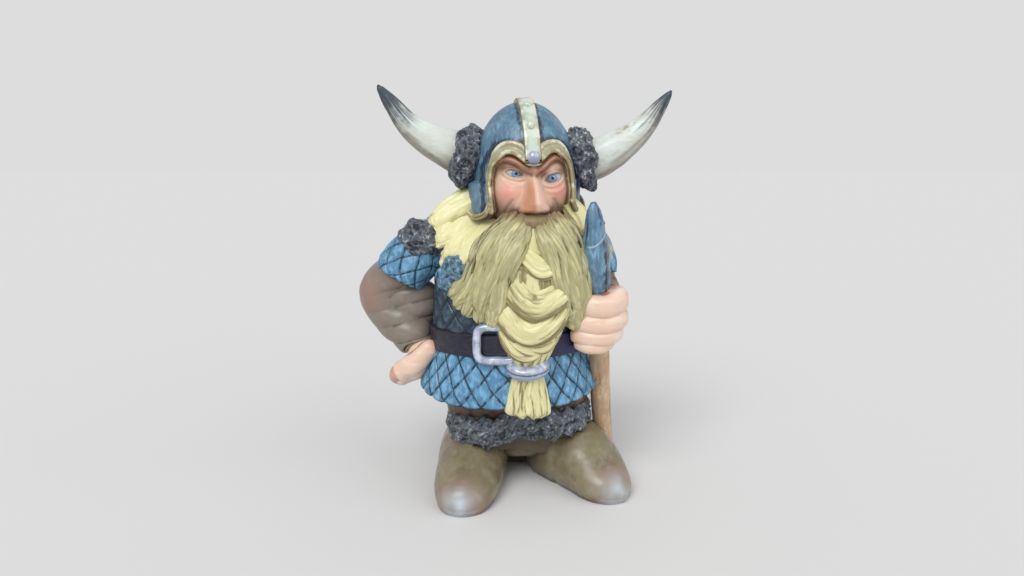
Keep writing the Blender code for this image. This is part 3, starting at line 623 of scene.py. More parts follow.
class FIGURINE_OT_helmet(PieceOperator, bpy.types.Operator):
    """Makes the blue dome with its face opening, neck guard and cheek guards"""

    bl_idname = "figurine.helmet"
    bl_label = "Helmet"

    def make(self, sizes, colours):
        blue = painted(
            "Helmet paint",
            colours.helmet_blue,
            (0.018, 0.035, 0.06),
            (0.30, 0.50, 0.66),
            second=(0.045, 0.10, 0.17),
            stroke=(2.2, 2.2, 0.5),
            scale=330,
            rough=(0.28, 0.45),
            streak=0.5,
            coat=0.15,
            # inside: painted shade, a dark brown shadow line on the wall of the face opening
            extra=mask_colour("inside", (0.20, 0.12, 0.06), 0.95),
        )
        obj, turn, rise = ball("helmet_dome", 256, 150)
        sphere = directions(turn, rise)
        local = sphere * np.array(DOME)
        low = local[:, 2] < 0
        sides = np.abs(np.cos(turn))
        guard = step_up(sides, 0.5, 0.8) * step_up(-np.sin(turn), -0.25, 0.12)
        local[low, 2] *= 0.34
        local[:, 2] *= np.where(low, 1 + 0.64 * guard, 1)
        spread = np.sqrt(np.maximum(1 - sphere[:, 2] ** 2, 0))
        wall = step_up(-sphere[:, 2], 0.0, 0.1) * step_up(spread, 0.1, 0.5)
        for axis in (0, 1):
            wide = 1.0 + guard_flare(local[:, 0]) * guard * (axis == 0)
            local[:, axis] += (
                sphere[:, axis] / np.maximum(spread, 1e-6) * DOME[axis] * wide - local[:, axis]
            ) * wall * 0.92
        outline = face_opening()
        depth = inside_outline(local[:, 0], local[:, 2], outline)
        opening = step_up(depth, -0.15, 0.55) * (local[:, 1] < 0)
        local = local * (1 - 0.24 * opening[:, None])
        points = on_head(local)
        waves = 0.10 * layered(points, 5.0, 3) + 0.05 * layered(points, 1.6, 4)
        front = local[:, 1] < 0
        # The crest is lowered in strips beside the face rim, alongside the band and low on the cheek guards, so
        # the wash darkens there: painted shade where those parts meet the dome.
        crest = (
            0.60 + 0.35 * layered(points, 3.0, 5) - 0.55 * hump(depth + 1.7, 0.7) * front
            - 0.45 * hump(np.abs(local[:, 0]) - 2.5, 0.5) - 0.3 * hump(local[:, 2] + 9.2, 1.4)
        )
        # Painted shade: the wall of the face opening, just inside the rim, is painted dark brown.
        carve(obj, points, waves, crest=crest, inside=step_up(depth, -0.9, -0.4) * front)
        neck, np_, sphere, _ = lump("neck_guard", (0, 2.2, -1.6), (12.8, 13.6, 3.4), 120, 40)
        np_ = on_head(np_)
        carve(neck, np_, 0.08 * layered(np_, 4.0, 9), crest=0.5 + 0.3 * layered(np_, 2.4, 10))
        finish_group("helmet", [obj, neck], blue)


class FIGURINE_OT_helmet_trim(PieceOperator, bpy.types.Operator):
    """Makes the gold rim round the face, the band over the dome and its silver studs"""

    bl_idname = "figurine.helmet_trim"
    bl_label = "Helmet trim"

    def make(self, sizes, colours):
        gold = painted(
            "Old gold paint",
            colours.old_gold,
            (0.11, 0.085, 0.04),
            (0.90, 0.88, 0.68),
            second=(0.30, 0.25, 0.13),
            scale=190,
            rough=(0.22, 0.36),
            streak=0.18,
            metal=0.15,
            dragged=0.8,
            # pale: mint paint on the rim's brow channel and the band, and a painted highlight on the band's
            # front and the studs' tops
            extra=mask_colour("pale", (0.66, 0.82, 0.74), 0.85),
        )
        half = sizes.rim_width / UNIT / 2
        line = smooth_path(RIM_LINE, 120)
        x, z = line[:, 0], line[:, 1]
        flared = -DOME[1] * np.sqrt(np.maximum(1 - (x / DOME[0] / (1 + guard_flare(x))) ** 2, 0.02)) - 0.15
        y = np.where(z > 0, dome_y(x, z), dome_y(x, 0) + (flared - dome_y(x, 0)) * step_up(-z, 0.0, 3.5))
        wide = half * (0.84 + 0.95 * step_up(z, 3.0, 6.5) - 0.1 * hump(x, 1.2))
        rows = np.column_stack([on_head(np.column_stack([x, y + 0.1, z])), wide, np.full(len(x), 0.95)])
        normals = dome_normal(np.column_stack([x, y, np.maximum(z, 0)])) @ HEAD.T
        rim, points, turn, place = sweep("rim", rows[::3], 40, 420, facing=normals[::3], ends=(1, 1))
        outer = step_up(np.sin(turn), 0.1, 0.6)
        channel = hump(np.cos(turn), 0.5) * outer
        brow = np.interp(place, np.linspace(0, 1, len(z)), step_up(z, 2.5, 6.0))
        relief = -channel * (0.20 + 0.40 * brow) + 0.04 * layered(points, 1.6, 11)
        crest = (
            1.06 - 0.80 * channel * (1 - 0.3 * brow) - 0.75 * step_up(np.abs(np.cos(turn)), 0.86, 0.99)
            + 0.12 * layered(points, 2.0, 12) + 0.1 * np.cos(turn)
        )
        carve(rim, points, relief, crest=crest, pale=channel * brow * 0.2)
        edges = [rim]
        for side in (-1, 1):
            round_side = np.radians((-47, -42, -34, -23, -12, -2, 7, 16))
            edge = np.column_stack(
                [
                    side * (14.8 - 0.3 * side) * np.cos(round_side), 15.2 * np.sin(round_side),
                    (-6.0, -7.9, -8.8, -9.0, -8.4, -7.0, -5.8, -5.2)
                ]
            )
            normals = np.column_stack([side * np.cos(round_side), np.sin(round_side), np.full(8, -0.15)])
            rows = np.column_stack([on_head(edge), np.full(8, half * 0.8), np.full(8, 0.95)])
            piece, points, turn, place = sweep(
                f"guard_edge_{side}", rows, 28, 120, facing=normals @ HEAD.T, ends=(1, 1)
            )
            channel = hump(np.cos(turn), 0.5) * step_up(np.sin(turn), 0.1, 0.6)
            carve(
                piece, points, -0.2 * channel + 0.04 * layered(points, 1.5, 13),
                crest=0.98 - 0.7 * channel - 0.7 * step_up(np.abs(np.cos(turn)), 0.86, 0.99)
                + 0.12 * layered(points, 2.0, 14),
                pale=0
            )
            edges.append(piece)
        count = 60
        angle = np.linspace(math.radians(192.5), math.radians(-8), count)
        band = np.column_stack(
            [np.zeros(count), (DOME[1] + 0.15) * np.cos(angle), (DOME[2] + 0.15) * np.sin(angle)]
        )
        first = band[:, 1] < 0
        band[first & (band[:, 2] < 4.0), 2] = 4.0
        rows = np.column_stack([on_head(band), np.full(count, 2.0), np.full(count, 1.0)])
        normals = dome_normal(
            np.column_stack([np.zeros(count), DOME[1] * np.cos(angle), DOME[2] * np.sin(angle)])
        ) @ HEAD.T
        piece, points, turn, place = sweep("band", rows[::2], 44, 260, facing=normals[::2], power=3.4)
        flat = hump(np.cos(turn), 0.62) * step_up(np.sin(turn), 0.1, 0.6)
        # The band's pale middle grows towards the front: partly its own mint paint, partly a painted highlight.
        front_half = 1 - 0.6 * step_up(place, 0.42, 0.5)
        carve(
            piece, points, -0.22 * flat + 0.05 * layered(points, 1.6, 15),
            crest=0.95 - 0.9 * hump(np.abs(np.cos(turn)) - 0.95, 0.06) + 0.12 * layered(points, 1.4, 16),
            pale=flat * front_half * (0.85 + 0.3 * layered(points, 2.2, 18))
        )
        edges.append(piece)
        for k, (y, z) in enumerate(((-12.3, 12.4), (-7.3, 17.4))):
            stud, points, sphere, _ = lump(f"boss_{k}", (0, y, z), (1.0, 1.0, 1.0), 36, 26)
            points = on_head(points)
            # The studs' pale paint grows towards their tops: painted highlight.
            carve(stud, points, 0.03 * layered(points, 1.0, 17), crest=0.9, pale=0.6 + 0.4 * sphere[:, 2])
            edges.append(stud)
        finish_group("helmet_trim", edges, gold)
        silver = painted(
            "Silver paint", colours.silver, (0.09, 0.10, 0.15), (0.72, 0.80, 0.92), second=(0.42, 0.46, 0.60),
            scale=130, rough=(0.18, 0.28), streak=0.3, metal=0.2, dragged=0.8, coat=0.3
        )
        stud, points, sphere, _ = lump("brow_stud", (0, -15.6, 4.9), (1.6, 1.5, 1.6), 48, 36)
        points = on_head(points)
        # The crest rises towards the stud's top: painted highlight above and painted shade below.
        carve(stud, points, 0.03 * layered(points, 1.0, 17), crest=0.95 + 0.5 * sphere[:, 2])
        finish_group("brow_stud", [stud], silver)


# Fur


def curls(points, seed, size=1.35):
    """Curly ridges: 1 on a curl's crest and 0 between."""
    bent = points + 0.55 * np.column_stack([noise(points, 1.1, seed + k) for k in (1, 2, 3)])
    ridge = 1 - np.abs(noise(bent, size, seed)) * 2.1
    finer = 1 - np.abs(noise(bent, size * 0.5, seed + 5)) * 2.0
    return np.clip(0.7 * ridge + 0.3 * finer, 0, 1)


def fur_tuft(name, centre, radii, turned, sizes, seed, around=110, along=80, lumps=6, depth=0.16):
    obj, points, sphere, rotation = lump(name, centre, radii, around, along, turned)
    x, y, z = sphere.T
    wave = np.sin(lumps * x + 2.1 * y) * np.sin(lumps * y - 1.7 * z) + np.sin(lumps * z + 2.6 * x)
    points = (sphere * (1 + depth * wave / 2)[:, None] * np.array(radii)) @ rotation.T + np.array(centre)
    curl = curls(points, seed)
    carve(obj, points, (curl - 0.55) * sizes.fur_depth / UNIT, crest=0.12 + 0.95 * curl)
    return obj


def fur_paint(colours):
    return bpy.data.materials.get("Fur paint") or painted(
        "Fur paint",
        colours.charcoal,
        (0.012, 0.014, 0.02),
        (0.56, 0.62, 0.66),
        second=(0.14, 0.155, 0.18),
        scale=620,
        rough=(0.4, 0.6),
        streak=0.2,
        washed=1.0,
        dragged=0.75,
    )


class FIGURINE_OT_fur(PieceOperator, bpy.types.Operator):
    """Makes the curly fur at the horns and on the shoulders"""

    bl_idname = "figurine.fur"
    bl_label = "Fur tufts"

    def make(self, sizes, colours):
        fur = fur_paint(colours)
        tufts = [
            fur_tuft("horn_fur_right", (-11.3, 0.8, 85.4), (4.6, 8.0, 8.3), (0, 14, 0), sizes, 21, 140, 100),
            fur_tuft("horn_fur_left", (17.8, 0.8, 85.0), (4.4, 7.8, 8.2), (0, -14, 0), sizes, 31, 140, 100),
        ]
        finish_group("horn_fur", tufts, fur)
        tufts = [
            fur_tuft("fur_shoulder_right", (-23.2, -3.4, 64.6), (5.6, 5.0, 4.8), (0, 30, 0), sizes, 41),
            fur_tuft("fur_back_right", (-18.8, 6.6, 65.6), (5.6, 5.0, 4.2), (0, 20, 0), sizes, 61),
            fur_tuft("fur_back_left", (17.2, 7.8, 64.6), (5.4, 5.0, 4.2), (0, -20, 0), sizes, 71),
            fur_tuft("fur_shoulder_left", (19.6, 0.6, 66.4), (4.4, 5.0, 3.8), (0, -35, 0), sizes, 81),
        ]
        finish_group("shoulder_fur", tufts, fur)
        blue = painted(
            "Blue fur paint", (0.085, 0.19, 0.30), (0.015, 0.05, 0.09), (0.40, 0.60, 0.72),
            second=(0.06, 0.13, 0.21), scale=480, rough=(0.24, 0.4), streak=0.3, dragged=0.9, coat=0.2
        )
        finish_group(
            "breast_fur",
            [fur_tuft("fur_breast", (-14.0, -12.6, 56.6), (4.2, 3.0, 5.0), (0, 25, 0), sizes, 51)], blue
        )


class FIGURINE_OT_cuff(PieceOperator, bpy.types.Operator):
    """Makes the band of fur round the boot tops"""

    bl_idname = "figurine.cuff"
    bl_label = "Boot fur"

    def make(self, sizes, colours):
        around, across = 420, 56
        bpy.ops.object.select_all(action="DESELECT")
        bpy.ops.mesh.primitive_torus_add(
            major_segments=around, minor_segments=across, major_radius=1, minor_radius=0.3
        )
        obj = bpy.context.object
        obj.name = "boot_fur"
        co = np.empty(len(obj.data.vertices) * 3)
        obj.data.vertices.foreach_get("co", co)
        co = co.reshape(-1, 3)
        turn = np.arctan2(co[:, 1], co[:, 0])
        tilt = np.arctan2(co[:, 2], np.hypot(co[:, 0], co[:, 1]) - 1)
        c, s = oval(turn, 2.6)
        x = 1.8 + 16.8 * c
        climb = 1 / (1 + np.exp(-(x + 2.5) / 1.8))
        z = 15.5 + 2.7 * climb
        dip = 1 - 0.17 * hump(x - 1.8, 3.4) * (s < 0)
        wave = np.sin(17 * turn + 3 * tilt) + np.sin(23 * turn - 2 * tilt)
        swell = 1 + 0.11 * wave
        out = 2.4 * np.cos(tilt) * swell
        points = np.column_stack(
            [x + out * np.cos(turn), -0.6 + 12.2 * s * dip + out * np.sin(turn), z + 4.0 * np.sin(tilt) * swell]
        )
        curl = curls(points, 91, 1.25)
        carve(obj, points, (curl - 0.5) * sizes.fur_depth * 1.1 / UNIT, crest=0.12 + 0.95 * curl)
        finish_group("boot_fur", [obj], fur_paint(colours))


# Horns


class FIGURINE_OT_horns(PieceOperator, bpy.types.Operator):
    """Makes the two ivory horns with slate tips"""

    bl_idname = "figurine.horns"
    bl_label = "Horns"

    def make(self, sizes, colours):
        ivory = painted(
            "Horn paint",
            colours.ivory,
            (0.26, 0.20, 0.13),
            (0.90, 0.90, 0.86),
            second=(0.62, 0.60, 0.50),
            stroke=(0.5, 2.0, 1.6),
            scale=380,
            rough=(0.3, 0.45),
            streak=0.4,
            # under: painted shade, brown on the horns' undersides and near their bases; the dark tips are the
            # horns' own paint
            extra=mask_colours(("under", (0.22, 0.17, 0.11), 0.9), ("tip", (0.035, 0.05, 0.075), 0.96)),
        )
        right = (
            (-9.0, 1.0, 84.8), (-15.0, 1.0, 86.8), (-21.7, 0.0, 90.0), (-25.8, -1.0, 92.9), (-29.8, -2.0, 97.9),
            (-32.4, -3.0, 101.4), (-32.9, -3.2, 102.2)
        )
        left = (
            (15.0, 1.0, 83.4), (21.8, 1.0, 84.9), (28.3, 0.0, 88.7), (33.3, -1.0, 92.8), (36.7, -2.0, 97.4),
            (38.7, -3.0, 100.2), (39.2, -3.2, 101.0)
        )
        horns = []
        for name, spine, radii in (
            ("right", right, (5.4, 5.2, 4.1, 3.1, 2.1, 1.0, 0.4)),
            ("left", left, (5.4, 5.2, 4.2, 2.9, 1.8, 0.8, 0.3))
        ):
            rows = [(*p, r, r) for p, r in zip(spine, radii)]
            obj, points, turn, place = sweep("horn_" + name, rows, 72, 170, ends=(0, 1))
            line = np.column_stack([np.cos(turn) * 4, np.sin(turn) * 4, place * 6])
            grain = noise(line, 0.9, 101)
            rings = np.sin(place * 46 + 2 * noise(points, 4, 102)) * (1 - step_up(place, 0.0, 0.45))
            relief = 0.10 * grain + 0.07 * rings + 0.08 * layered(points, 3, 103)
            ragged = place + 0.16 * noise(line * (1.6, 1.6, 0.7), 0.7, 104) + 0.06 * noise(points, 1.2, 105)
            # Painted shade: brown along each horn's underside and near its base.
            under = step_up(-np.sin(turn) + 0.3 * noise(line, 0.8, 106), 0.25, 1.1)
            carve(
                obj, points, relief, crest=0.62 + 0.35 * grain, tip=step_up(ragged, 0.47, 0.74),
                under=under * 0.8 + 0.5 * hump(place - 0.1, 0.1)
            )
            horns.append(obj)
        finish_group("horns", horns, ivory)


# Face


BROWS = {
    "right": [(-0.7, 2.0), (-2.4, 3.0), (-4.6, 4.5), (-6.8, 5.0), (-8.8, 3.4)],
    "left": [(0.7, 1.8), (2.6, 2.6), (4.8, 4.4), (6.8, 5.0), (8.8, 3.6)],
}
EYES = {"right": (-4.1, 1.15, 1.8, 0.46), "left": (5.2, -0.3, 2.0, 0.84)}


class FIGURINE_OT_face(PieceOperator, bpy.types.Operator):
    """Makes the frowning face with its large nose and its two eyes"""

    bl_idname = "figurine.face"
    bl_label = "Face"

    def make(self, sizes, colours):
        skin = painted(
            "Face paint",
            colours.skin,
            (0.26, 0.10, 0.06),
            (0.92, 0.70, 0.56),
            second=(0.84, 0.54, 0.40),
            scale=300,
            rough=(0.34, 0.46),
            streak=0.22,
            dragged=0.45,
            coat=0.1,
            extra=mask_colours(
                # nose: orange-brown, painted shade on one plane of the nose and the brows' own tint
                ("blush", (0.84, 0.28, 0.24), 0.7), ("nose", (0.56, 0.22, 0.10), 0.8),
                ("stubble", (0.24, 0.15, 0.09), 0.75), ("shade", (0.14, 0.06, 0.035), 0.9)
            ),
        )
        obj, turn, rise = ball("face", 280, 190)
        front = turn + np.pi / 2
        front = np.arctan2(np.sin(front), np.cos(front))
        turn = front - 0.55 * np.sin(front) - np.pi / 2
        sphere = directions(turn, rise)
        local = sphere * np.array((12.0, 13.3, 16.0)) + np.array((0, 0.3, -1.6))
        x, z = local[:, 0], local[:, 2]
        face = step_up(-sphere[:, 1], 0.05, 0.4)
        high = np.zeros(len(x))
        shade = np.zeros(len(x))
        brow_tint = np.zeros(len(x))
        for side, brow in BROWS.items():
            away = line_distance(x, z, smooth_path(brow, 24))
            high += 1.7 * hump(away, 0.95)
            brow_tint = np.maximum(brow_tint, 0.75 * hump(away, 1.3))
            below = line_distance(x, z, smooth_path([(a, b - 1.15) for a, b in brow], 24))
            high -= 0.5 * hump(below, 0.5)
            shade = np.maximum(shade, 0.95 * hump(below, 0.6))
            shade = np.maximum(
                shade, 0.6 * hump(line_distance(x, z, smooth_path([(a, b + 1.1) for a, b in brow], 24)), 0.5)
            )
        for side, (ex, ez, wide, tall) in EYES.items():
            dx, dz = x - ex, z - ez
            high -= 1.25 * np.exp(-((dx / 3.3) ** 2) - ((dz / 2.0) ** 2))
            lean = 0.16 if ex < 0 else -0.16
            lid = (dz + lean * dx) / tall
            edge = 1 - (dx / wide) ** 2
            almond = np.where(lid > 0, lid, -lid * 1.15) - np.sqrt(np.maximum(edge, 0))
            open_eye = step_up(-almond, -0.12, 0.12) * (edge > 0)
            around = np.hypot(dx / (wide + 0.75), (dz + lean * dx) / (tall + 0.75))
            high += 0.95 * hump(around - 1.0, 0.24)
            high -= 2.1 * open_eye
            upper = hump(almond, 0.34) * (lid > 0) * (edge > -0.35)
            shade = np.maximum(shade, upper * 0.95)
            shade = np.maximum(shade, 0.45 * hump(almond, 0.16) * (lid <= 0) * (edge > -0.2))
            bag = hump(np.hypot(dx / (wide + 1.2), (dz + 0.6) / (tall + 1.7)) - 1.0, 0.14) * (dz < -0.4)
            high += 0.2 * bag
            shade = np.maximum(
                shade,
                0.1 * hump(np.hypot(dx / (wide + 1.6), (dz + 0.7) / (tall + 2.3)) - 1.0, 0.09) * (dz < -0.4)
            )
        side = np.sign(x)
        high += 1.7 * np.exp(-(((np.abs(x) - 6.1) / 3.1) ** 2) - (((z + 3.8) / 3.2) ** 2))
        profile = np.interp(
            z, (-9.6, -9.0, -8.3, -7.5, -6.0, -3.0, 0.0, 2.4, 4.0), (0, 0.8, 3.8, 6.3, 6.6, 4.9, 3.2, 2.1, 0.5)
        )
        width = np.interp(z, (-9.8, -7.4, -5.6, -3.0, 0.0, 3.0), (4.1, 4.2, 3.6, 2.6, 1.9, 1.5))
        ridge = np.clip(1 - (np.abs(x) / width) ** 1.7, 0, 1) ** 0.8
        high += profile * ridge
        high += 1.5 * np.exp(-(((np.abs(x) - 3.3) / 1.5) ** 2) - (((z + 7.3) / 1.4) ** 2))
        crease = line_distance(np.abs(x), z, [(5.0, -5.2), (6.0, -6.6), (6.9, -8.6), (7.6, -11.0)])
        high -= 0.25 * hump(crease, 0.4)
        shade = np.maximum(shade, 0.22 * hump(crease, 0.4))
        wing = np.hypot((np.abs(x) - 3.5) / 1.8, (z + 7.2) / 1.5)
        shade = np.maximum(shade, 0.16 * hump(wing - 1.05, 0.2) * (np.abs(x) > 2.2))
        shade = np.maximum(shade, 0.8 * hump(z + 8.9, 0.55) * (np.abs(x) < 5.2))
        for gx in (-0.95, 0.95):
            furrow = line_distance(x, z, [(gx * 1.25, 4.6), (gx, 3.0), (gx * 1.3, 1.6)])
            high -= 0.5 * hump(furrow, 0.3)
            shade = np.maximum(shade, 0.55 * hump(furrow, 0.26))
        local[:, 1] -= high * face
        points = on_head(local)
        soft = 0.05 * layered(points, 1.6, 111)
        for side_x, socket in ((-6.6, 2.7), (-5.0, 2.6), (-2.4, 1.6), (2.7, 1.0), (7.4, 1.2)):
            shade = np.maximum(shade, 0.8 * np.exp(-(((x - side_x) / 1.6) ** 2) - (((z - socket) / 1.2) ** 2)))
        frame_depth = inside_outline(x, z, face_opening())
        shade = np.maximum(shade, 0.75 * hump(frame_depth - 0.8, 1.1) * step_up(z, -4, 3))
        shade = np.maximum(
            shade, 0.75 * hump(np.abs(x) - width * 0.98, 0.3) * step_up(-z, 6.0, 7.6) * step_up(z, -9.4, -8.6)
        )
        blush = np.exp(-(((np.abs(x) - 6.2) / 2.3) ** 2) - (((z + 3.4) / 2.0) ** 2)) * face
        # Painted shade: orange-brown on the nose's right-hand plane only; along the brows the same paint is
        # their own orange-brown tint.
        nose = np.clip(ridge * 1.6, 0, 1) * step_up(-z, -2.0, 3.0) * step_up(z, -10.2, -8.8) * face * step_up(-x, -0.4, 0.7)
        nose = np.maximum(nose, brow_tint * face)
        # Brown laid over the lower face above the moustache, darker towards the bottom and kept off the nose.
        stubble = step_up(
            -z + 0.6 * noise(points * (1, 1, 0.5), 0.9, 112), 5.2, 7.8
        ) * face * (1 - 0.9 * np.clip(ridge * 2, 0, 1) * (z > -9.2))
        crest = 0.66 + 0.22 * layered(points, 2.2, 113) + 0.3 * hump(x, 0.8) * step_up(-z, 0, 3) * face
        carve(obj, points, soft, crest=crest, blush=blush, nose=nose, stubble=stubble, shade=shade * face)
        finish_group("face", [obj], skin)
        eye_paint = self.eye_material()
        balls = []
        for side, (ex, ez, wide, tall) in EYES.items():
            centre_y = -8.9 if ex < 0 else -8.8
            eye, points, sphere, _ = lump("eye_" + side, (ex, centre_y, ez), (2.9, 2.5, 2.1), 72, 56)
            look = (ex + (0.35 if ex < 0 else -0.1), ez + 0.1)
            away = np.hypot(points[:, 0] - look[0], points[:, 2] - look[1])
            front = sphere[:, 1] < 0
            points = on_head(points)
            carve(
                eye, points, None, iris=step_up(-away, -1.08, -0.96) * front,
                pupil=step_up(-away, -0.46, -0.36) * front, rim=hump(away - 1.0, 0.16) * front
            )
            balls.append(eye)
        finish_group("eyes", balls, eye_paint)

    def eye_material(self):
        material = bpy.data.materials.new("Eye paint")
        material.use_nodes = True
        tree = material.node_tree
        shader = tree.nodes["Principled BSDF"]
        where = add_node(tree, "ShaderNodeTexCoord", (-6, 1)).outputs["Object"]
        brush = add_node(tree, "ShaderNodeGroup", (-4, 1), node_tree=shared("Brush strokes", brush_group))
        brush.inputs["Scale"].default_value = 700
        tree.links.new(where, brush.inputs["Vector"])
        # The whites are laid a mid grey, well below white paint: painted shade from the brows over the eyes.
        white = mix_colour(
            tree, (-2, 1), brush.outputs["Strokes"], (0.52, 0.51, 0.49, 1), (0.38, 0.39, 0.42, 1)
        )
        blue = mix_colour(tree, (-2, 3), brush.outputs["Strokes"], (0.10, 0.34, 0.62, 1), (0.30, 0.60, 0.80, 1))
        colour = white
        for k, (name, paint) in enumerate(
            (("iris", blue), ("rim", (0.03, 0.06, 0.12, 1)), ("pupil", (0.01, 0.02, 0.04, 1)))
        ):
            mask = add_node(tree, "ShaderNodeAttribute", (-3, 4 + k), attribute_name=name).outputs["Fac"]
            amount = number(tree, (-2, 4 + k), "MULTIPLY", mask, 1.0 if name != "rim" else 0.6, True)
            colour = mix_colour(tree, (k, 1), amount, colour, paint)
        tree.links.new(colour, shader.inputs["Base Color"])
        shader.inputs["Roughness"].default_value = 0.22
        return material


# Hair


def strand_pattern(points, turn, along, radius, seed, fine=0.8):
    """Strands that run along a lock: 1 on a strand, falling to 0 in the thin grooves between."""
    drift = 0.2 * noise(points, 4.0, seed)
    ring = np.column_stack([np.cos(turn + drift), np.sin(turn + drift)]) * np.maximum(radius, 0.6)[:, None]
    pattern = np.ones(len(points))
    for k, (size, weight) in enumerate(((fine * 1.9, 1.0), (fine, 0.75))):
        place = np.column_stack([ring / size, along / (size * 8)])
        groove = np.clip(1 - np.abs(noise(place, 1.0, seed + 3 + k)) * 4.2, 0, 1)
        pattern = pattern - weight * groove**1.3
    return np.clip(pattern, 0, 1)


def lock(
    name, points, radii, sizes, seed, around=56, along=90, wide=1.06, flat=0.86, facing=(0, -1, 0), ends=(0, 1),
    waves=0.0, depth=1.0, shaded_roots=0.0, shaded=0.25
):
    """One lock of hair along a spine, with strands carved along it."""
    rows = [(*p, r * wide, r * flat) for p, r in zip(points, radii)]
    obj, base, turn, place = sweep(name, rows, around, along, facing=facing, ends=ends)
    length = sum(np.linalg.norm(np.subtract(a, b)) for a, b in zip(points[:-1], points[1:]))
    if waves:
        base[:, 0] += waves * np.sin(place * 8 + seed) * np.sin(np.pi * place)
    radius = np.interp(place, np.linspace(0, 1, len(radii)), radii)
    pattern = strand_pattern(base, turn, place * length, radius, seed)
    split = strand_pattern(base, turn, place * length, radius, seed + 9, 1.7)
    swell = noise(
        np.column_stack([np.cos(turn) * radius / 1.8, np.sin(turn) * radius / 1.8, place * length / 12]), 1.0,
        seed + 15
    )
    relief = (
        (pattern - 0.8) * sizes.strand_depth + (split - 0.9) * sizes.lock_depth + swell * sizes.lock_depth * 0.6
    ) / UNIT * depth
    store_flow(obj, turn, radius, place * length + 3 * seed)
    between = step_up(np.abs(np.cos(turn)), 0.72, 1.0)
    carve(
        obj, base, relief, crest=0.14 + 0.34 * pattern + 0.38 * split + 0.16 * swell - shaded * between,
        # Brown on the first share of a lock: painted shade where the lock leaves the face.
        root=(1 - step_up(place, 0.02, shaded_roots)) if shaded_roots else 0
    )
    return obj


def straw_paint(name, colours, deep, light=(0.95, 0.92, 0.56), tone=1.0, washed=0.85):
    base = tuple(c * tone for c in colours.straw)
    return painted(
        name,
        base,
        deep,
        light,
        second=tuple(c * t for c, t in zip(base, (0.86, 0.85, 0.78))),
        stroke=(1, 1, 0.09),
        scale=1000,
        rough=(0.36, 0.52),
        streak=0.55,
        washed=washed,
        dragged=0.6,
        bump=0.0004,
        flow=True,
        # root: painted shade, brown at the tops of the moustache's locks and under the nose
        extra=mask_colour("root", (0.24, 0.155, 0.08), 0.85),
    )


MOUSTACHE_RIGHT = (
    ((4.2, -14.6, 69.8), (0.6, -18.6, 64.4), (-2.0, -19.2, 58.0), (-3.8, -18.4, 50.6), (-4.8, -17.8, 46.4)),
    ((3.2, -14.0, 70.8), (-1.6, -18.6, 64.8), (-4.2, -19.0, 59.0), (-6.6, -18.2, 52.0), (-7.8, -17.4, 47.2)),
    ((1.2, -12.8, 71.2), (-3.4, -17.4, 65.2), (-5.8, -18.0, 59.8), (-8.0, -17.4, 53.6), (-10.6, -16.6, 48.6)),
    ((-0.4, -12.0, 70.6), (-4.8, -15.8, 64.6), (-6.9, -16.6, 59.6), (-9.0, -16.2, 54.0), (-12.6, -15.2, 50.4)),
    ((-2.0, -11.2, 69.0), (-6.0, -14.0, 63.6), (-8.0, -14.8, 59.2), (-9.8, -14.8, 55.0), (-13.8, -14.4, 52.4)),
)
MOUSTACHE_LEFT = (
    ((6.4, -14.6, 69.8), (9.2, -18.6, 64.4), (11.6, -18.8, 58.6), (14.0, -17.6, 51.6), (14.9, -16.2, 45.8)),
    ((7.7, -14.0, 70.8), (11.2, -18.2, 64.8), (13.2, -18.2, 59.0), (14.9, -17.0, 52.0), (15.4, -15.8, 45.4)),
    ((9.7, -12.8, 71.2), (12.8, -16.8, 65.2), (14.8, -17.2, 59.4), (16.0, -16.2, 52.4), (16.0, -15.2, 45.8)),
    ((11.6, -12.0, 70.8), (14.6, -15.4, 64.8), (16.2, -15.8, 59.4), (17.0, -15.0, 53.0), (16.6, -14.2, 46.4)),
    ((13.2, -11.0, 69.8), (15.8, -13.4, 64.4), (17.2, -13.6, 59.4), (17.6, -13.2, 53.4), (17.2, -12.8, 48.2)),
)


class FIGURINE_OT_moustache(PieceOperator, bpy.types.Operator):
    """Makes the two heavy falls of the moustache"""

    bl_idname = "figurine.moustache"
    bl_label = "Moustache"

    def make(self, sizes, colours):
        paint = straw_paint(
            "Moustache paint", colours, (0.085, 0.07, 0.025), light=(0.78, 0.72, 0.40), tone=0.53, washed=1.0
        )
        for side, locks in (("right", MOUSTACHE_RIGHT), ("left", MOUSTACHE_LEFT)):
            pieces = []
            for k, spine in enumerate(locks):
                pieces.append(
                    lock(
                        f"moustache_{side}_{k}", spine, (1.6, 2.6, 2.8, 2.7, 1.8), sizes,
                        120 + 10 * k + (5 if side == "left" else 0), 84, 130, 1.2, 0.9, waves=0.4, depth=1.35,
                        shaded_roots=0.13, shaded=0.4
                    )
                )
            if side == "right":
                # A brown mass under the nose: painted shade beneath the nose.
                middle, points, sphere, _ = lump(
                    "moustache_middle", (5.2, -14.2, 69.6), (4.4, 3.0, 2.2), 70, 50
                )
                store_flow(middle, sphere[:, 0], np.full(len(points), 2.0), points[:, 2])
                carve(
                    middle, points, 0.1 * layered(points, 0.8, 119),
                    crest=0.5 + 0.3 * layered(points, 0.8, 118), root=1
                )
                pieces.append(middle)
            finish_group("moustache_" + side, pieces, paint)


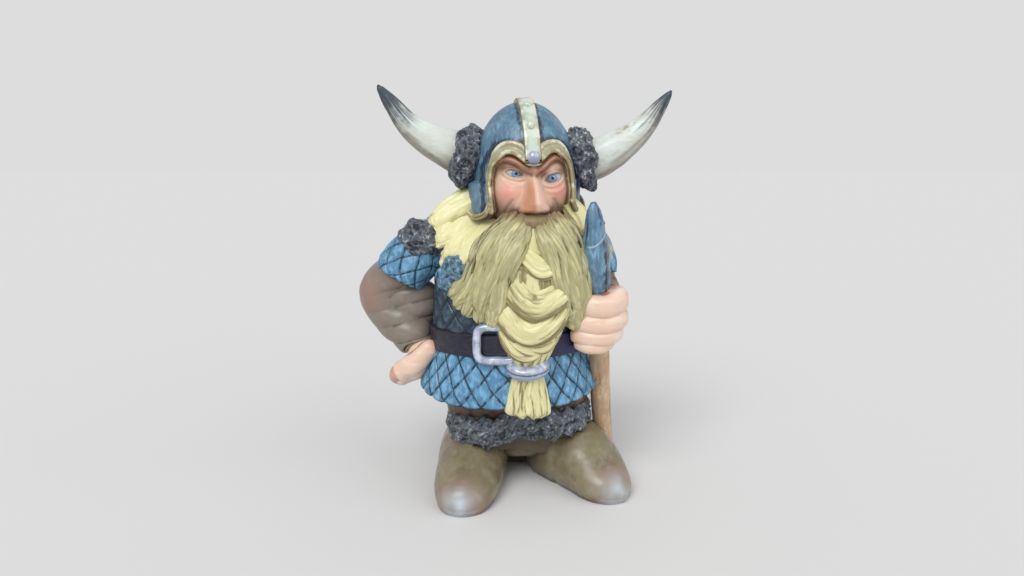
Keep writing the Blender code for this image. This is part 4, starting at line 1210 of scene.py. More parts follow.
class FIGURINE_OT_beard(PieceOperator, bpy.types.Operator):
    """Makes the beard in swags, its silver ring and the tuft below it"""

    bl_idname = "figurine.beard"
    bl_label = "Beard"

    def make(self, sizes, colours):
        paint = straw_paint("Beard paint", colours, (0.23, 0.185, 0.075), tone=0.92, washed=0.9)
        core = (
            (33.0, 3.9, -16.6, 3.0, 2.6),
            (39.0, 4.2, -17.0, 5.8, 3.6),
            (46.0, 4.6, -16.8, 8.4, 4.4),
            (54.0, 4.8, -16.0, 8.8, 4.8),
            (62.0, 5.0, -14.4, 8.4, 4.8),
            (70.0, 5.0, -12.4, 6.4, 3.6),
        )
        obj, points, turn, place = stack("beard_core", core, 110, 110, 2.0)
        sag = points[:, 2] + 0.05 * (points[:, 0] - 4.8) ** 2
        swirl = strand_pattern(points, turn, sag, np.full(len(turn), 7.0), 131)
        store_flow(obj, turn, np.full(len(turn), 7.0), sag)
        carve(obj, points, (swirl - 0.8) * sizes.strand_depth / UNIT, crest=0.05 + 0.6 * swirl, root=0)
        pieces = [obj]
        swags = (
            (
                (1.4, -15.6, 66.4), (3.8, -17.8, 62.2), (7.2, -18.9, 59.6), (10.6, -17.6, 61.8),
                (12.4, -15.2, 65.4), 2.7
            ),
            (
                (-1.8, -15.4, 61.0), (1.0, -18.2, 55.0), (5.4, -19.8, 51.0), (10.4, -18.4, 53.2),
                (13.4, -15.2, 58.6), 3.7
            ),
            (
                (-4.0, -15.2, 54.6), (-0.8, -18.2, 47.8), (4.2, -19.8, 44.2), (9.8, -18.4, 47.2),
                (13.4, -15.4, 53.0), 3.1
            ),
            (
                (-1.8, -16.6, 46.0), (-0.6, -18.0, 42.4), (1.6, -19.2, 39.8), (4.2, -19.2, 38.8),
                (6.6, -18.0, 39.4), 2.4
            ),
            (
                (3.0, -18.4, 41.6), (5.4, -19.3, 40.8), (7.6, -19.0, 41.0), (9.4, -17.8, 42.8),
                (10.8, -16.6, 45.6), 1.9
            ),
        )
        for k, (*spine, thick) in enumerate(swags):
            radii = (thick * 0.7, thick * 0.9, thick, thick * 0.9, thick * 0.7)
            pieces.append(
                lock(
                    f"swag_{k}", spine, radii, sizes, 140 + 7 * k, 84, 150, 1.25, 0.92 if k > 1 else 0.74,
                    ends=(0, 0), facing=(0, -1, 0.45), depth=1.1, shaded=0.7
                )
            )
        finish_group("beard", pieces, paint)
        tuft_rows = (
            (22.6, 3.9, -17.6, 4.0, 1.8),
            (23.6, 3.9, -17.8, 5.6, 2.6),
            (27.6, 3.9, -17.8, 5.0, 2.8),
            (33.0, 3.9, -17.8, 3.6, 2.6),
        )
        obj, points, turn, place = stack("beard_tuft", tuft_rows, 160, 70, 2.0)
        pattern = strand_pattern(points, turn, points[:, 2], np.full(len(turn), 4.5), 151)
        points[:, 2] -= (1 - place) ** 3 * (
            0.9 * noise(np.column_stack([turn * 3, turn * 0, turn * 0]), 0.7, 152) + 0.5 * np.cos(turn)
        )
        store_flow(obj, turn, np.full(len(turn), 4.5), points[:, 2])
        carve(
            obj, points, (pattern - 0.7) * sizes.strand_depth * 1.5 / UNIT, crest=0.12 + 0.8 * pattern, root=0
        )
        finish_group("beard_tuft", [obj], paint)
        silver = bpy.data.materials["Silver paint"]
        obj, turn, rise = ball("beard_ring", 120, 40)
        place, close, _ = split_rise(rise, 40, 0, 0)
        bulge = 1.6 * np.sqrt(np.maximum(1 - (2 * place - 1) ** 2, 0))
        z = 35.0 + 1.7 * (2 * place - 1)
        x = 3.9 + (3.8 + bulge) * np.cos(turn) * close
        y = -18.0 + (2.6 + bulge) * np.sin(turn) * close
        z = z + 1.2 * np.sin(turn) + 0.25 * np.cos(turn)
        points = np.column_stack([x, y, z])
        groove = hump(place - 0.5, 0.09)
        carve(
            obj, points, -0.22 * groove + 0.05 * layered(points, 1.2, 153),
            crest=0.85 - 0.7 * groove + 0.2 * layered(points, 1.5, 154)
        )
        finish_group("beard_ring", [obj], silver)


class FIGURINE_OT_hair(PieceOperator, bpy.types.Operator):
    """Makes the hair over the shoulder and down the back"""

    bl_idname = "figurine.hair"
    bl_label = "Hair"

    def make(self, sizes, colours):
        paint = straw_paint(
            "Hair paint", colours, (0.36, 0.30, 0.13), light=(0.97, 0.94, 0.60), tone=1.05, washed=0.7
        )
        front = (
            ((-7.0, 0.0, 72.4), (-12.6, -3.4, 69.0), (-17.0, -5.8, 65.6), (-19.0, -6.4, 63.6)),
            ((-6.0, -3.0, 69.6), (-10.6, -7.0, 65.4), (-14.6, -9.2, 61.4), (-16.6, -9.8, 58.8)),
            ((-5.0, -6.0, 68.8), (-8.2, -10.2, 64.6), (-11.0, -12.2, 61.0), (-12.6, -12.6, 58.4)),
            ((-7.0, -1.0, 76.4), (-13.6, -2.4, 72.8), (-19.0, -3.2, 69.2), (-21.4, -3.6, 67.4)),
            ((-7.0, 1.0, 76.4), (-13.0, 2.0, 72.8), (-18.0, 2.6, 68.2), (-18.8, 2.8, 67.2)),
        )
        pieces = [
            lock(
                f"hair_front_{k}", spine, (2.5, 3.1, 2.6, 1.3), sizes, 160 + 6 * k, 72, 100, 1.4, 0.66,
                facing=(-0.5, -0.8, 0.3), waves=0.3, depth=1.2
            ) for k,
            spine in enumerate(front)
        ]
        pieces.append(
            lock(
                "hair_left", ((14.0, -6.4, 74.0), (17.0, -7.0, 69.0), (18.2, -8.6, 60.0), (18.2, -8.8, 54.0)),
                (2.0, 2.7, 2.4, 1.2), sizes, 199, 56, 90
            )
        )
        finish_group("hair_front", pieces, paint)
        pieces = []
        for k in range(9):
            angle = math.radians(12 + 156 * k / 8)
            c, s = math.cos(angle), math.sin(angle)
            low = 54.0 + 2.2 * (k % 2)
            spine = (
                (3.4 + 9.6 * c, 0.5 + 10.6 * s, 78.0),
                (3.0 + 11.6 * c, 1.0 + 12.4 * s, 70.0),
                (1.6 + 13.8 * c, 1.4 + 13.0 * s, 61.0),
                (1.4 + 14.2 * c, 1.4 + 13.2 * s, low),
            )
            pieces.append(
                lock(
                    f"hair_back_{k}", spine, (2.6, 3.1, 2.6, 1.0), sizes, 210 + 6 * k, 56, 100, 1.2, 0.85,
                    facing=(c, s, 0.01), waves=0.3
                )
            )
        finish_group("hair_back", pieces, paint)


# Clothes


def diamonds(turn, z, columns, tall):
    """Distance in columns from the nearest of two families of crossing lines."""
    across = turn * columns / (2 * np.pi)
    first = across + z / tall
    second = across - z / tall
    near = np.minimum(np.abs(first - np.round(first)), np.abs(second - np.round(second)))
    pillow = np.abs(np.sin(np.pi * first) * np.sin(np.pi * second))
    return near, pillow


def quilt(obj, points, turn, z, columns, tall, unit_width, sizes, seed, **masks):
    """Cuts the crossing grooves and swells the diamonds between them."""
    wobble = 0.05 * noise(points, 3.0, seed)
    near, pillow = diamonds(turn + wobble * 0.4, z + wobble * 3, columns, tall)
    groove = hump(near * unit_width, 0.34)
    deep = sizes.quilt_depth / UNIT
    relief = deep * (0.55 * np.sqrt(pillow) - 0.75 * groove) + 0.08 * layered(points, 3.0, seed + 1)
    crest = 0.80 - 0.85 * groove + 0.25 * layered(points, 1.6, seed + 2) + 0.18 * pillow
    carve(obj, points, relief, crest=crest, **masks)


class FIGURINE_OT_tunic(PieceOperator, bpy.types.Operator):
    """Makes the quilted tunic: the body, the flared skirt and the sleeve cap"""

    bl_idname = "figurine.tunic"
    bl_label = "Tunic"

    def make(self, sizes, colours):
        light_blue = painted(
            "Tunic paint",
            colours.tunic_blue,
            (0.008, 0.035, 0.06),
            (0.26, 0.56, 0.82),
            second=(0.05, 0.15, 0.27),
            stroke=(1.6, 1.6, 0.7),
            scale=300,
            rough=(0.24, 0.4),
            streak=0.32,
            dragged=0.55,
            coat=0.12,
            # edge: painted shade, dark navy along the hem and the sleeve caps' lower ends
            extra=mask_colours(("edge", (0.012, 0.03, 0.05), 0.85), ("patch", (0.60, 0.58, 0.36), 0.9)),
        )
        # The chest quilting is painted a far darker blue than the skirt: partly the vest's own blue, partly
        # painted shade under the beard and arms.
        dark_blue = painted(
            "Vest paint",
            colours.shaded_vest_blue,
            (0.006, 0.016, 0.03),
            (0.08, 0.15, 0.21),
            second=(0.012, 0.03, 0.05),
            scale=330,
            rough=(0.26, 0.42),
            streak=0.3,
            dragged=0.45,
            coat=0.1,
        )
        belt_low = BELT_MIDDLE - sizes.belt_width / UNIT / 2
        belt_top = BELT_MIDDLE + sizes.belt_width / UNIT / 2
        chest = (
            (belt_low, *WAIST),
            (belt_top + 1, *WAIST),
            (47.4, -0.9, -0.6, 19.6, 15.8),
            (51.0, -0.8, -0.3, 19.5, 15.2),
            (54.6, -0.7, 0.2, 19.4, 14.4),
            (58.2, -0.5, 0.8, 19.2, 13.4),
            (61.8, -0.3, 1.4, 18.8, 12.2),
            (65.6, 0.0, 1.8, 17.2, 10.8),
            (69.4, 0.8, 2.0, 12.6, 9.2),
            (74.0, 2.4, 1.6, 8.0, 8.0),
        )
        obj, points, turn, place = stack("tunic_body", chest, 380, 120)
        quilt(obj, points, turn, points[:, 2], 18, 7.2, 5.6, sizes, 301)
        finish_group("tunic_body", [obj], dark_blue)
        skirt = (
            (HEM_LOW - 0.5, -0.9, -1.0, 20.6, 15.8),
            (HEM_LOW + 0.5, -1.1, -0.8, 23.1, 17.7),
            (HEM_LOW + 4.0, -1.1, -0.8, 22.7, 17.5),
            (HEM_LOW + 7.2, -1.0, -0.8, 21.6, 17.0),
            (HEM_LOW + 10.4, -0.9, -0.8, 20.8, 16.5),
            (belt_low + 1.5, *WAIST),
        )
        obj, points, turn, place = stack("tunic_skirt", skirt, 460, 96)
        flat_z = points[:, 2].copy()
        points[:, 2] += HEM_RISE * (1 - place) * np.clip((points[:, 1] + 18) / 15, 0, 1)
        points[:, 2] += 0.25 * (1 - place) ** 2 * noise(
            np.column_stack([turn * 5, turn * 0, turn * 0]), 1.0, 311
        )
        # Painted shade: a dark navy band along the lowest strip of the hem.
        edge = step_up(-flat_z, -HEM_LOW - 0.9, -HEM_LOW - 0.3)
        quilt(obj, points, turn, flat_z, 26, 7.0, 4.4, sizes, 312, edge=edge)
        skirt_obj = obj
        cap = (
            (-14.0, 1.0, 62.4, 5.6, 5.6),
            (-21.4, 0.8, 62.4, 6.9, 6.9),
            (-26.2, 0.4, 58.8, 7.2, 7.0),
            (-29.2, 0.2, 55.2, 7.0, 6.8),
            (-30.0, 0.1, 54.0, 5.6, 5.4),
        )
        obj, points, turn, place = sweep("cap_right", cap, 180, 110)
        # Painted shade: a dark band at the cap's lower end.
        edge = step_up(place, 0.955, 0.985)
        quilt(obj, points, turn, place * 20, 9, 7.0, 4.9, sizes, 321, edge=edge)
        cap = (
            (14.5, 2.0, 63.5, 5.0, 5.0),
            (19.0, 2.4, 62.6, 6.2, 6.2),
            (21.4, 1.6, 58.0, 6.0, 6.0),
            (22.0, 1.0, 54.6, 5.6, 5.6),
        )
        other, points, turn, place = sweep("cap_left", cap, 150, 80, facing=(0, -1, 0))
        # Painted shade: a dark band at the cap's lower end.
        edge = step_up(place, 0.95, 0.985)
        patch = hump(points[:, 0] - 25.4, 0.8) * hump(points[:, 2] - 61.4, 1.7) * (points[:, 1] < 3)
        quilt(other, points, turn, place * 14, 9, 7.0, 4.4, sizes, 331, edge=edge, patch=patch)
        finish_group("tunic_skirt", [skirt_obj], light_blue)
        finish_group("sleeve_caps", [obj, other], light_blue)


class FIGURINE_OT_belt(PieceOperator, bpy.types.Operator):
    """Makes the dark belt and its open silver buckle"""

    bl_idname = "figurine.belt"
    bl_label = "Belt and buckle"

    def make(self, sizes, colours):
        leather = painted(
            "Belt paint", colours.belt, (0.006, 0.006, 0.01), (0.055, 0.06, 0.095), second=(0.03, 0.026, 0.055),
            stroke=(0.7, 0.7, 2), scale=300, rough=(0.36, 0.5), streak=0.3,
            extra=mask_colour("violet", (0.032, 0.03, 0.10), 0.8)
        )
        half = sizes.belt_width / UNIT / 2
        rows = [
            (BELT_MIDDLE + z, WAIST[0], WAIST[1], WAIST[2] + out, WAIST[3] + out) for z,
            out in (
                (-half, 0.0), (-half + 0.3, 0.75), (-half + 0.8, 0.9), (0, 0.85), (half - 0.8, 0.9),
                (half - 0.3, 0.75), (half, 0.0)
            )
        ]
        obj, points, turn, place = stack("belt", rows, 320, 44)
        line = hump(np.abs(place - 0.5) - 0.33, 0.03)
        folds = 0.12 * noise(np.column_stack([turn * 6, place * 2, turn * 0]), 0.8, 341)
        violet = step_up(points[:, 0], 7.0, 13.0) * (points[:, 1] < 0)
        carve(
            obj, points, -0.14 * line + folds, crest=0.6 - 0.6 * line + 0.4 * layered(points, 2.0, 342),
            violet=violet
        )
        finish_group("belt", [obj], leather)
        bpy.ops.object.select_all(action="DESELECT")
        bpy.ops.mesh.primitive_torus_add(
            major_segments=180, minor_segments=26, major_radius=1, minor_radius=0.25
        )
        obj = bpy.context.object
        co = np.empty(len(obj.data.vertices) * 3)
        obj.data.vertices.foreach_get("co", co)
        co = co.reshape(-1, 3)
        turn = np.arctan2(co[:, 1], co[:, 0])
        tilt = np.arctan2(co[:, 2], np.hypot(co[:, 0], co[:, 1]) - 1)
        c, s = oval(turn, 4.4)
        bar = 1.09
        across = np.column_stack([c, s])
        across /= np.linalg.norm(across, axis=1, keepdims=True)
        x = -3.6 + 4.9 * c + across[:, 0] * bar * np.cos(tilt)
        z = BELT_MIDDLE + 1.0 + 4.2 * s + across[:, 1] * bar * np.cos(tilt)
        y = -17.9 - bar * 0.95 * np.sin(tilt)
        points = np.column_stack([x, y, z])
        carve(
            obj, points, 0.05 * layered(points, 1.4, 343),
            crest=0.55 + 0.3 * np.sin(tilt) + 0.3 * layered(points, 1.8, 344)
        )
        finish_group("buckle", [obj], bpy.data.materials["Silver paint"])


class FIGURINE_OT_sleeves(PieceOperator, bpy.types.Operator):
    """Makes the two full sleeves with their folds"""

    bl_idname = "figurine.sleeves"
    bl_label = "Sleeves"

    def make(self, sizes, colours):
        cloth = painted(
            "Sleeve paint",
            colours.sleeve,
            (0.05, 0.03, 0.02),
            (0.42, 0.37, 0.33),
            second=(0.20, 0.16, 0.125),
            scale=150,
            rough=(0.3, 0.42),
            streak=0.14,
            coat=0.12,
            washed=0.9,
            dragged=0.2,
            extra=mask_colour("rosy", (0.42, 0.20, 0.15), 0.5),
        )
        rows = (
            (-26.0, 0.6, 58.0, 5.0, 5.0),
            (-31.4, 1.6, 54.4, 5.6, 5.6),
            (-35.0, 2.6, 49.8, 5.8, 5.8),
            (-32.8, 2.8, 45.0, 6.0, 6.0),
            (-28.6, 1.2, 41.2, 6.2, 6.2),
            (-25.2, -1.6, 37.2, 4.8, 4.8),
            (-24.6, -2.2, 36.1, 3.6, 3.6),
        )
        obj, points, turn, place = sweep("sleeve_right", rows, 130, 190, facing=(0, -1, 0))
        fold = self.crook_folds(points, 351)
        relief = fold * 0.55 + 0.10 * layered(points, 5, 352)
        cuff = hump(place - 0.955, 0.02)
        rosy = hump(np.hypot(points[:, 0] + 39, (points[:, 2] - 50)), 5.0)
        carve(
            obj, points, relief - 0.3 * cuff, crest=0.66 + 0.62 * fold + 0.12 * layered(points, 5, 353),
            rosy=rosy
        )
        fold_obj, fp, sphere, _ = lump("sleeve_fold", (-27.0, 1.6, 47.2), (7.6, 4.9, 8.0), 110, 90)
        crease = self.crook_folds(fp, 351)
        carve(fold_obj, fp, 0.55 * crease, crest=0.62 + 0.62 * crease + 0.08 * layered(fp, 5, 362), rosy=0)
        rows = (
            (20.6, 2.0, 60.0, 4.8, 4.8),
            (22.6, 2.0, 53.0, 5.2, 5.2),
            (23.6, -0.6, 48.6, 5.4, 5.4),
            (23.4, -6.0, 47.2, 5.0, 5.0),
            (23.0, -9.6, 46.6, 4.4, 4.4),
        )
        other, points, turn, place = sweep("sleeve_left", rows, 110, 130, facing=(1, 0, 0))
        fold = self.folds(points, turn, place, 371)
        carve(
            other, points, 0.6 * fold + 0.1 * layered(points, 4, 372),
            crest=0.55 + 0.75 * fold + 0.2 * layered(points, 2.4, 373), rosy=0
        )
        finish_group("sleeves", [obj, fold_obj, other], cloth)

    def crook_folds(self, points, seed):
        """Long soft folds that fan across the bend of the elbow, -0.6 in a crease and 0.4 on a roll."""
        x, y, z = points.T
        fan = (z - 50.5) * 0.66 - (x + 32) * 0.17
        bent = fan + 0.7 * noise(points * (0.4, 0.6, 0.6), 6, seed)
        roll = np.abs(np.sin(bent))
        reach = step_up(x, -38.5, -30.0) * (1 - 0.8 * step_up(z, 51.5, 56.0))
        return (roll**0.7 - 0.62) * (0.15 + 0.85 * reach)

    def folds(self, points, turn, place, seed):
        """Soft folds that wrap across the sleeve, -0.5 in a crease and 0.5 on a roll."""
        bent = place * 9 + 1.1 * np.sin(turn + seed) + 1.3 * noise(points, 7, seed)
        roll = np.abs(np.sin(bent))
        return (roll**0.5 - 0.7) * (0.55 + 0.45 * noise(points, 9, seed + 1))


class FIGURINE_OT_hands(PieceOperator, bpy.types.Operator):
    """Makes the hand on the hip and the fist round the haft"""

    bl_idname = "figurine.hands"
    bl_label = "Hands"

    def make(self, sizes, colours):
        skin = painted(
            "Hand paint",
            colours.skin,
            (0.30, 0.13, 0.08),
            (0.97, 0.88, 0.76),
            second=(0.88, 0.66, 0.54),
            stroke=(0.4, 1.0, 2.2),
            scale=120,
            rough=(0.26, 0.4),
            streak=0.22,
            dragged=0.35,
            coat=0.15,
            extra=mask_colours(("red", (0.40, 0.14, 0.08), 0.75),),
        )
        pieces = [self.palm("palm_right", (-23.4, -3.8, 34.4), (3.8, 4.2, 4.4), (0, 35, 0), 381)]
        fingers = (
            ((-21.4, -7.0, 36.6), (-25.0, -7.4, 33.0), (-28.4, -6.4, 30.6), (-29.6, -6.0, 29.9)),
            ((-21.8, -4.0, 34.2), (-25.2, -4.6, 30.8), (-28.8, -4.6, 28.9), (-30.0, -4.6, 28.7)),
            ((-21.8, -0.8, 33.8), (-25.0, -1.0, 30.6), (-28.2, -1.6, 28.9), (-29.0, -1.8, 28.6)),
        )
        for k, spine in enumerate(fingers):
            pieces.append(self.finger(f"finger_right_{k}", spine, (2.4, 2.75, 2.6, 2.2), 390 + k))
        finish_group("hand_right", pieces, skin)
        pieces = [self.palm("palm_left", (23.0, -11.0, 45.6), (4.9, 4.6, 6.6), (0, -8, 0), 382)]
        grip = (
            (50.2, 49.6, 26.6, 18.0, (3.2, 3.4, 3.0, 2.5, 1.9)),
            (45.9, 45.1, 27.4, 17.0, (2.4, 2.7, 2.6, 2.35, 1.8)),
            (42.2, 41.8, 26.8, 16.6, (2.0, 2.2, 2.15, 1.95, 1.6)),
            (39.9, 39.5, 25.2, 17.0, (1.5, 1.7, 1.65, 1.5, 1.2)),
        )
        for k, (high, low, knuckle, tip, radii) in enumerate(grip):
            spine = (
                (knuckle - 2.2, -8.6, high + 0.4),
                (knuckle - 1.4, -12.6, high + 0.3),
                (knuckle * 0.5 + tip * 0.5, -15.6, (high + low) / 2 - 0.5),
                (tip, -14.4, low),
                (tip - 0.4, -12.6, low),
            )
            pieces.append(self.finger(f"finger_left_{k}", spine, radii, 400 + k, True))
        finish_group("fist_left", pieces, skin)

    def palm(self, name, centre, radii, turned, seed):
        obj, points, sphere, _ = lump(name, centre, radii, 80, 60, turned)
        carve(
            obj, points, 0.12 * layered(points, 3, seed), crest=0.6 + 0.3 * layered(points, 2, seed + 1), red=0
        )
        return obj

    def finger(self, name, spine, radii, seed, fist=False):
        rows = [(*p, r, r) for p, r in zip(spine, radii)]
        obj, points, turn, place = sweep(name, rows, 56, 100, ends=(1, 1), power=2.5 if fist else 2.15)
        joints = (0.3, 0.64) if fist else (0.4, 0.72)
        swell = sum(hump(place - j, 0.08) for j in joints)
        relief = 0.16 * swell + 0.10 * layered(points, 2.6, seed)
        side = hump(np.abs(np.sin(turn)) - 1, 0.05 if fist else 0.03)
        tip = step_up(place, 0.84, 0.98)
        carve(
            obj, points, relief, crest=0.78 + 0.14 * layered(points, 3, seed + 1) + 0.2 * swell - 0.6 * side,
            red=np.maximum(tip * 0.7, 0.5 * side)
        )
        return obj


class FIGURINE_OT_breeches(PieceOperator, bpy.types.Operator):
    """Makes the brown breeches between the skirt and the fur"""

    bl_idname = "figurine.breeches"
    bl_label = "Breeches"

    def make(self, sizes, colours):
        brown = painted(
            "Breeches paint",
            colours.breeches,
            (0.016, 0.009, 0.006),
            (0.30, 0.17, 0.09),
            second=(0.15, 0.085, 0.04),
            scale=240,
            rough=(0.3, 0.48),
            streak=0.35,
            dragged=0.4,
            coat=0.1,
            # low: painted shade, dark olive-brown on the breeches under the fur cuff
            extra=mask_colour("low", (0.10, 0.08, 0.05), 0.95),
        )
        rows = (
            (8.6, 1.0, 2.4, 17.6, 11.4),
            (13.0, 1.0, 1.6, 18.0, 10.6),
            (18.0, 1.2, 0.6, 18.4, 12.0),
            (HEM_LOW + 4.5, 1.2, -0.4, 19.8, 14.4),
        )
        obj, points, turn, place = stack("breeches", rows, 220, 70, 2.5)
        fold = np.abs(np.sin(turn * 7 + 1.6 * noise(points, 7, 411))) ** 0.5 - 0.7
        # Painted shade: the breeches turn dark olive-brown below the fur cuff.
        low = step_up(-points[:, 2], -14.5, -12.5)
        points[:, 2] += 1.6 * hump(points[:, 0] - 0.6, 5.0) * (1 - step_up(place, 0.0, 0.35))
        carve(
            obj, points, (0.3 * fold + 0.12 * layered(points, 4, 412)) * (1 - low),
            crest=0.55 + 0.6 * fold * (1 - low) + 0.25 * layered(points, 3, 413), low=low
        )
        finish_group("breeches", [obj], brown)


class FIGURINE_OT_boots(PieceOperator, bpy.types.Operator):
    """Makes the soft boots and the web that joins them"""

    bl_idname = "figurine.boots"
    bl_label = "Boots"

    def make(self, sizes, colours):
        hide = painted(
            "Boot paint",
            colours.boot,
            (0.045, 0.032, 0.02),
            (0.40, 0.37, 0.26),
            second=(0.15, 0.115, 0.062),
            scale=230,
            rough=(0.24, 0.36),
            streak=0.22,
            dragged=0.3,
            coat=0.25,
            extra=mask_colours(
                # First colour: painted shade on the boots' inner sides, along the ground and over the web and
                # arch
                ("dusk", (0.06, 0.038, 0.022), 0.85), ("ruddy", (0.34, 0.17, 0.12), 0.45),
                # Last colour: painted highlight, a pale blue-white gloss on the front of each boot
                ("toe", (0.66, 0.74, 0.86), 0.75)
            ),
        )
        right = (
            (-9.2, 18.2, 4.6, 2.6, 2.6),
            (-9.4, 15.4, 4.6, 6.6, 6.8),
            (-10.2, 4.0, 5.6, 9.3, 10.2),
            (-10.8, -8.0, 4.6, 8.9, 8.6),
            (-11.7, -18.0, 2.8, 7.9, 6.2),
            (-12.0, -24.4, 2.0, 5.2, 4.2),
            (-12.1, -27.0, 1.8, 0.9, 0.8),
        )
        left = (
            (7.6, 18.0, 4.6, 2.6, 2.6),
            (8.4, 15.0, 4.6, 6.6, 6.8),
            (12.6, 3.6, 6.4, 9.6, 11.0),
            (18.8, -5.6, 5.8, 9.2, 9.6),
            (23.4, -13.2, 3.2, 7.9, 6.2),
            (26.2, -17.4, 2.1, 5.2, 4.2),
            (27.8, -19.6, 1.9, 0.9, 0.8),
        )
        pieces = []
        for name, rows, toe in (
            ("boot_right", right, (-13.0, -26.0, 2.6)), ("boot_left", left, (26.2, -19.0, 2.8))
        ):
            obj, points, turn, place = sweep(name, rows, 150, 170, ends=(0, 0))
            wrinkle = hump(place - 0.45, 0.12) * np.sin(place * 60 + 2 * noise(points, 5, 421))
            relief = 0.10 * wrinkle + 0.16 * layered(points, 5, 422)
            sole = step_up(-points[:, 2], -1.8, -0.4)
            relief -= 0.12 * hump(points[:, 2] - 1.5, 0.35)
            # Painted highlight: a pale blue-white sheen laid round a point on the front of each boot.
            away = np.linalg.norm(points - np.array(toe), axis=1)
            shine = hump(away, 4.2) * (0.75 + 0.4 * noise(points, 2.4, 423))
            ruddy = hump(away - 5.0, 2.6) * (0.7 + 0.5 * noise(points, 2.6, 427))
            # Painted shade: dark brown on the inner sides between the legs and low along the ground.
            middle = hump(points[:, 0] - 2.4, 5.0) * step_up(points[:, 1], -16, -8)
            carve(
                obj, points, relief, crest=0.62 + 0.3 * layered(points, 3.4, 424) - 0.4 * sole, toe=shine,
                ruddy=ruddy, dusk=np.maximum(0.8 * middle, 0.7 * sole)
            )
            pieces.append(obj)
        rows = (
            (-2.0, 1.2, 10.6, 16.4, 4.4),
            (4.0, 1.2, 9.4, 16.6, 5.8),
            (10.0, 1.2, 4.8, 17.4, 10.0),
            (15.0, 1.2, 2.4, 17.2, 12.0),
        )
        obj, points, turn, place = stack("web", rows, 180, 60, 2.6)
        # The web is painted dark all over: painted shade in the gap between the boots.
        carve(
            obj, points, 0.15 * layered(points, 5, 425), crest=0.5 + 0.3 * layered(points, 3.4, 426), toe=0,
            ruddy=0, dusk=0.75
        )
        pieces.append(obj)
        arch, points, sphere, _ = lump("arch", (2.4, -1.0, 10.4), (8.0, 6.6, 5.8), 90, 64)
        points[:, 2] += 0.7 * hump(points[:, 0] - 2.4, 2.8) * np.clip(-sphere[:, 2], 0, 1)
        # The arch darkens towards the right boot and towards the ground: painted shade.
        carve(
            arch, points, 0.12 * layered(points, 4, 428), crest=0.55 + 0.3 * layered(points, 3, 429), toe=0,
            ruddy=0,
            dusk=0.25 + 0.6 * step_up(-points[:, 0], -1.5, 2.5) + 0.5 * step_up(-points[:, 2], -7.5, -5.5)
        )
        pieces.append(arch)
        for piece in pieces:
            self.stand_flat(piece)
        finish_group("boots", pieces, hide)

    def stand_flat(self, obj):
        """Cuts a piece off level with the ground and closes the cut."""
        bpy.ops.object.select_all(action="DESELECT")
        obj.select_set(True)
        bpy.context.view_layer.objects.active = obj
        bpy.ops.object.mode_set(mode="EDIT")
        bpy.ops.mesh.select_all(action="SELECT")
        bpy.ops.mesh.bisect(
            plane_co=(0, 0, 0), plane_no=(0, 0, 1), use_fill=True, clear_inner=True, clear_outer=False
        )
        bpy.ops.object.mode_set(mode="OBJECT")


